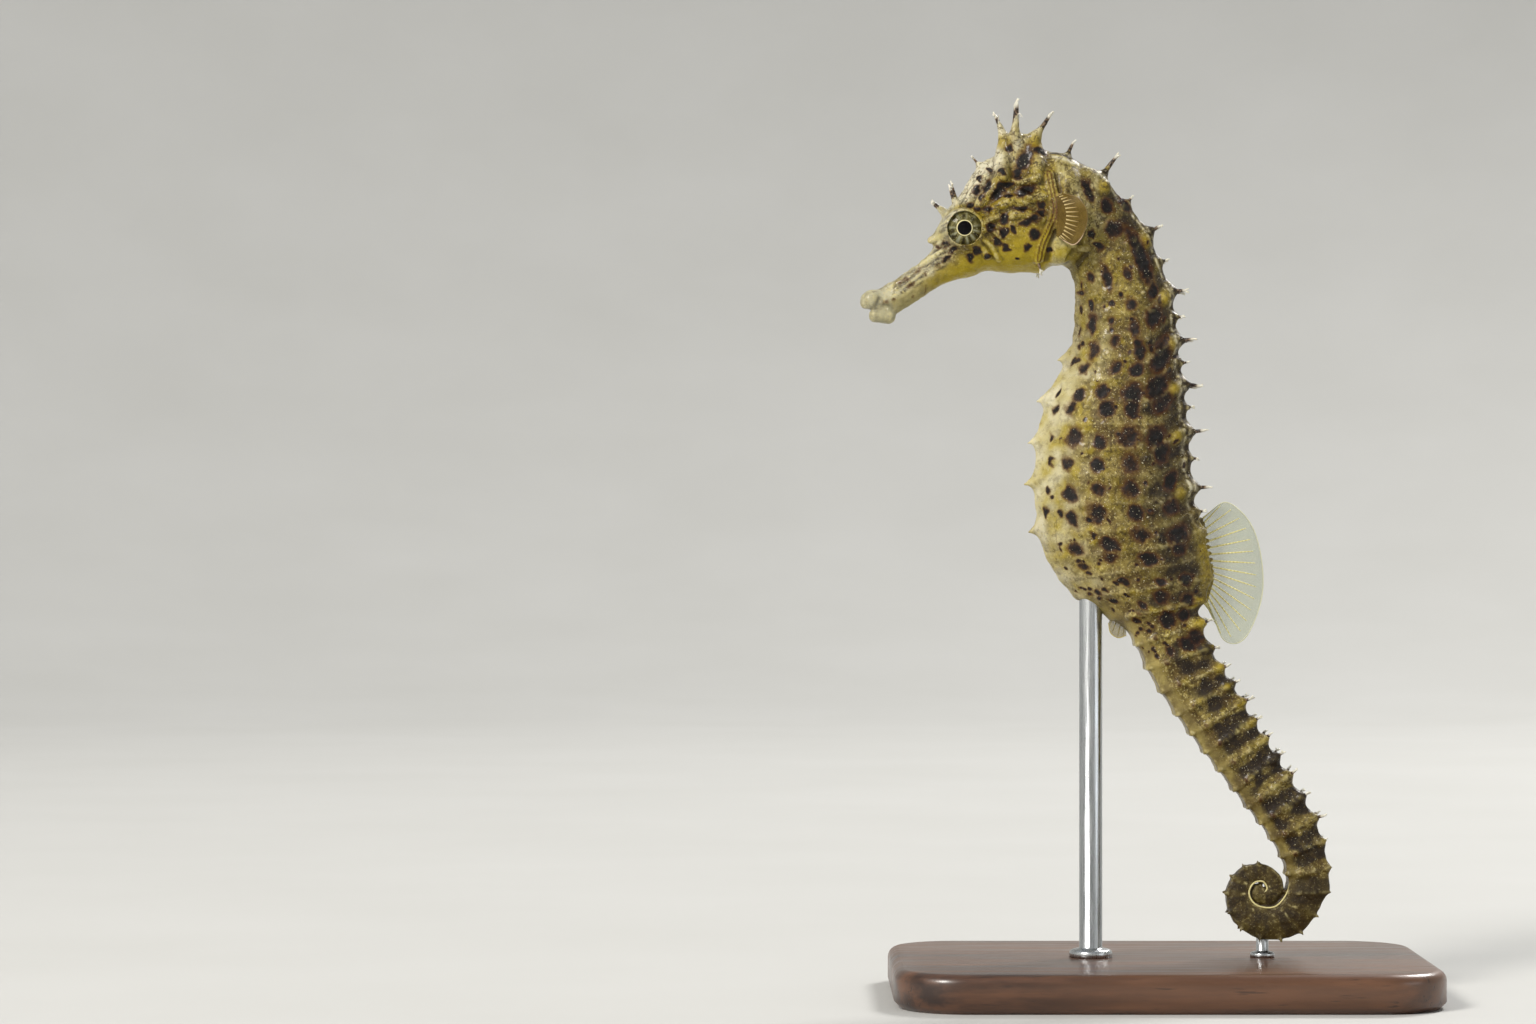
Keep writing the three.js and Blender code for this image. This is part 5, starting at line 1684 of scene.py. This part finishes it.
def web_sheet(root_at, edge_at, wave, rays):
    """The thin web of a fin, closed round its rim."""
    across = WEB_ACROSS * rays
    t, r = np.meshgrid(np.linspace(0, 1, across + 1), np.linspace(0, 1, WEB_OUT + 1), indexing="ij")
    t, r = t.ravel(), r.ravel()
    root = root_at(t)
    middle = root + r[:, None] * (edge_at(t) - root)
    middle[:, 1] += wave(t, r)
    half = np.outer(WEB_THICK - WEB_TAPER * r, (0, 1, 0))
    index = np.arange(len(middle)).reshape(across + 1, WEB_OUT + 1)
    front = np.stack([index[:-1, :-1], index[1:, :-1], index[1:, 1:], index[:-1, 1:]], 2).reshape(-1, 4)
    rim = np.concatenate([index[0, :], index[1:, -1], index[-1, -2::-1], index[-2:0:-1, 0]])
    after = np.roll(rim, -1)
    walls = np.stack([after, rim, rim + len(middle), after + len(middle)], 1)
    faces = np.vstack([front, front[:, ::-1] + len(middle), walls])
    return np.vstack([middle - half, middle + half]), faces.tolist()


def fan_fin(node, root_at, edge_at, wave, rays, span, thick, materials, pale_from=0.0):
    """A fin: a thin web between a root line and an edge line, with jointed rays in it.

    span is the part of the way from root to edge that the rays cover, thick is their radius.
    The rim is pale from pale_from, a share of its length, to its end."""
    mesh = Mesh()
    mesh.add(*web_sheet(root_at, edge_at, wave, rays), slot=0, joint=0.0)
    steps = np.linspace(0, 1, RAY_STEPS)
    beads = np.cos(2 * np.pi * JOINTS_PER_RAY * steps)
    reach = span[0] + steps * (span[1] - span[0])
    joint = np.repeat(smoothstep(0.1, 0.9, -beads) * smoothstep(0.15, 0.3, steps), RAY_SIDES)
    for k in range(rays):
        along = np.full(len(steps), (k + 0.5) / rays)
        root = root_at(along)
        path = root + reach[:, None] * (edge_at(along) - root)
        path[:, 1] += wave(along, reach)
        radii = thick * (1 - 0.6 * steps) * (1 + 0.12 * beads)
        mesh.add(*tube(path, radii, RAY_SIDES), slot=1, joint=joint)
    margin = np.linspace(0, 1, RIM_STEPS)
    path = edge_at(margin)
    path[:, 1] += wave(margin, np.ones(len(margin)))
    dark = smoothstep(pale_from + 0.05, pale_from - 0.05, margin)
    mesh.add(*tube(path, RIM_THICK, RAY_SIDES), slot=2, joint=np.repeat(dark, RAY_SIDES))
    mesh.make_piece(f"{node}_web", [node], "fin", *materials)


def make_dorsal_fin():
    first, end = DORSAL_FIN

    def root_at(t):
        return places_in(first + (end - first) * t, 1.0)

    def wave(t, r):
        return 0.35 * r * np.sin(2 * np.pi * 1.6 * t + 2.2 * r)

    edge_at = evenly_along(DORSAL_OUTLINE)
    materials = [
        fin_web_material("dorsal_web", "97a189", "aaae84", 0.32),
        fin_ray_material("dorsal_rays", "b8a748", "e9e0a2"),
        fin_ray_material("dorsal_rim", "b9b894", "c9c8a8"),
    ]
    fan_fin("dorsal_fin", root_at, edge_at, wave, DORSAL_RAYS, (0, 0.87), 0.14, materials)


def make_pectoral_fin(side):
    out = math.copysign(1, EYE[side].y)
    x0, y0, z0 = PECTORAL_PLACE

    def placed(control):
        line = evenly_along(control)

        def at(t):
            x, _, z = line(t).T
            along, aside = x * math.cos(PECTORAL_FLARE), out * x * math.sin(PECTORAL_FLARE)
            return np.column_stack([x0 + along, out * y0 + aside, z0 + z])

        return at

    def wave(t, r):
        return 0.12 * r * np.sin(2 * np.pi * 2.2 * t)

    materials = [
        fin_web_material(f"pectoral_web_{side}", "6e5820", "4a3714", 0.62),
        fin_ray_material(f"pectoral_rays_{side}", "8f7840", "bba877"),
        fin_ray_material(f"pectoral_rim_{side}", "6a5528", "c0a488"),
    ]
    root_at, edge_at = placed(PECTORAL_ROOT), placed(PECTORAL_EDGE)
    node = f"pectoral_fin_{side}"
    fan_fin(node, root_at, edge_at, wave, PECTORAL_RAYS, (0.3, 0.72), 0.11, materials, 0.7)


def make_anal_fin():
    def line(points):
        return lambda t: catmull_rom(points, t * (len(points) - 1))[0]

    def no_wave(t, r):
        return 0 * t

    web = fin_web_material("anal_web", "8a7d46", "75682f", 0.5)
    ray = fin_ray_material("anal_rays", "6f5a1c", "b5a664")
    root_at, edge_at = line(ANAL_ROOT), line(ANAL_EDGE)
    fan_fin("anal_fin", root_at, edge_at, no_wave, ANAL_RAYS, (0, 0.9), 0.08, [web, ray, ray])


# ---------------------------------------------------------------- stand

# The base: radius of its corners, radius of its upper edge, and its small lower chamfer.
CORNER, UPPER_EDGE, CHAMFER = 9.0, 1.4, 0.9
CORNER_STEPS, EDGE_STEPS = 14, 6
# The rod and the pin: radius, radius of the collar, height of the collar.
RODS = {"stand_rod": (1.5, 2.8, 1.1), "stand_pin": (0.8, 1.6, 0.7)}
ROD_SEGMENTS, ROD_EDGE_STEPS = 32, 5


def make_base():
    """A wooden plate with round corners and a softly rounded upper edge."""
    _, high = box_mm("stand_base")
    profile = [(CHAMFER, 0.0), (0.0, CHAMFER)]
    for a in quarter(EDGE_STEPS):
        profile.append((UPPER_EDGE * (1 - math.cos(a)), high.z - UPPER_EDGE + UPPER_EDGE * math.sin(a)))
    points = []
    for inset, z in profile:
        r = CORNER - inset
        for turn, (side_x, side_y) in enumerate(((1, 1), (-1, 1), (-1, -1), (1, -1))):
            for a in quarter(CORNER_STEPS):
                x = side_x * (high.x - CORNER) + r * math.cos(turn * math.pi / 2 + a)
                y = side_y * (high.y - CORNER) + r * math.sin(turn * math.pi / 2 + a)
                points.append((x, y, z))
    mesh = Mesh()
    mesh.add(points, closed_bands(len(profile), len(points) // len(profile)))
    mesh.make_piece("stand_plate", ["stand_base"], "stand_wood", wood_material())


def make_rod(node, material):
    """A steel rod with a rounded top, and a turned collar where it leaves the base."""
    radius, collar, collar_height = RODS[node]
    low, high = box_mm(node)
    floor = box_mm("stand_base")[1].z
    profile = [(0, low.z), (radius, low.z), (radius, floor + 0.02), (collar, floor + 0.02)]
    profile += [(collar, floor + 0.5 * collar_height)]
    edge = quarter(ROD_EDGE_STEPS)[1:]
    for a in edge:
        r = collar + (radius + 0.15 - collar) * (1 - math.cos(a))
        profile.append((r, floor + collar_height * (0.5 + 0.5 * math.sin(a)) + 0.05))
    profile += [(radius, floor + collar_height + 0.2), (radius, high.z - radius)]
    profile += [(radius * math.cos(a), high.z - radius + radius * math.sin(a)) for a in edge]
    mesh = turned(profile, ROD_SEGMENTS, (low.x + high.x) / 2)
    mesh.make_piece(f"{node}_turned", [node], "stand_steel", material)


# ---------------------------------------------------------------- studio, in metres

# The floor: its flat radius, the radius that it curves up by, and the height of the wall above.
FLOOR_FLAT, FLOOR_CURVE, FLOOR_WALL = 0.8, 0.8, 0.8
FLOOR_SEGMENTS, FLOOR_CURVE_STEPS = 96, 12
# Lights: place, size, power, colour.
LIGHTS = {
    "key": ((-0.85, -0.85, 0.95), 0.45, 23, (1.0, 0.96, 0.9)),
    "fill": ((1.1, -0.7, 0.3), 0.8, 2.5, (0.94, 0.97, 1.0)),
    "rim": ((0.55, 0.7, 0.9), 0.4, 12, (1.0, 0.98, 0.95)),
}
SKY, SKY_STRENGTH = "e8ecf0", 0.5
# The camera: its place, and the width of what it sees in the plane of the animal.
CAMERA_X, CAMERA_DISTANCE, CAMERA_Z = -0.05096, 0.6, 0.06284
PICTURE_WIDTH = 0.19968
SENSOR_WIDTH = 36.0


def make_floor():
    """A pale floor that curves up into a backdrop all round."""
    profile = [(0.0, 0.0), (FLOOR_FLAT / 2, 0.0), (FLOOR_FLAT, 0.0)]
    for a in quarter(FLOOR_CURVE_STEPS)[1:]:
        profile.append((FLOOR_FLAT + FLOOR_CURVE * math.sin(a), FLOOR_CURVE * (1 - math.cos(a))))
    profile.append((FLOOR_FLAT + FLOOR_CURVE, FLOOR_CURVE + FLOOR_WALL))
    floor = turned(np.array(profile) / MM, FLOOR_SEGMENTS)
    floor.make("studio_floor", floor_material())


def light_studio():
    middle = (cad_box[0] + cad_box[1]) / 2
    for name, (place, size, power, colour) in LIGHTS.items():
        data = bpy.data.lights.new(name, "AREA")
        data.shape = "DISK"
        data.size = size
        data.energy = power
        data.color = colour
        light = bpy.data.objects.new(name, data)
        light.location = place
        light.rotation_euler = (middle - Vector(place)).to_track_quat("-Z", "Y").to_euler()
        bpy.context.scene.collection.objects.link(light)
    world = bpy.data.worlds.new("studio")
    world.use_nodes = True
    sky = world.node_tree.nodes["Background"]
    sky.inputs["Color"].default_value = linear(SKY)
    sky.inputs["Strength"].default_value = SKY_STRENGTH
    bpy.context.scene.world = world
    bpy.context.scene.view_settings.view_transform = "Standard"


def add_camera():
    """The camera looks level along +Y, with the animal right of the middle of the picture."""
    data = bpy.data.cameras.new("camera")
    data.sensor_width = SENSOR_WIDTH
    data.lens = SENSOR_WIDTH * CAMERA_DISTANCE / PICTURE_WIDTH
    camera = bpy.data.objects.new("camera", data)
    camera.location = (CAMERA_X, -CAMERA_DISTANCE, CAMERA_Z)
    camera.rotation_euler = (math.pi / 2, 0, 0)
    bpy.context.scene.collection.objects.link(camera)
    bpy.context.scene.camera = camera


# ---------------------------------------------------------------- everything together

add_camera()
make_floor()
light_studio()
make_skin()
glass_eye = eye_material()
for side in ("left", "right"):
    make_eye(side, glass_eye)
    make_pectoral_fin(side)
make_dorsal_fin()
make_anal_fin()
make_base()
steel = steel_material()
for node in RODS:
    make_rod(node, steel)
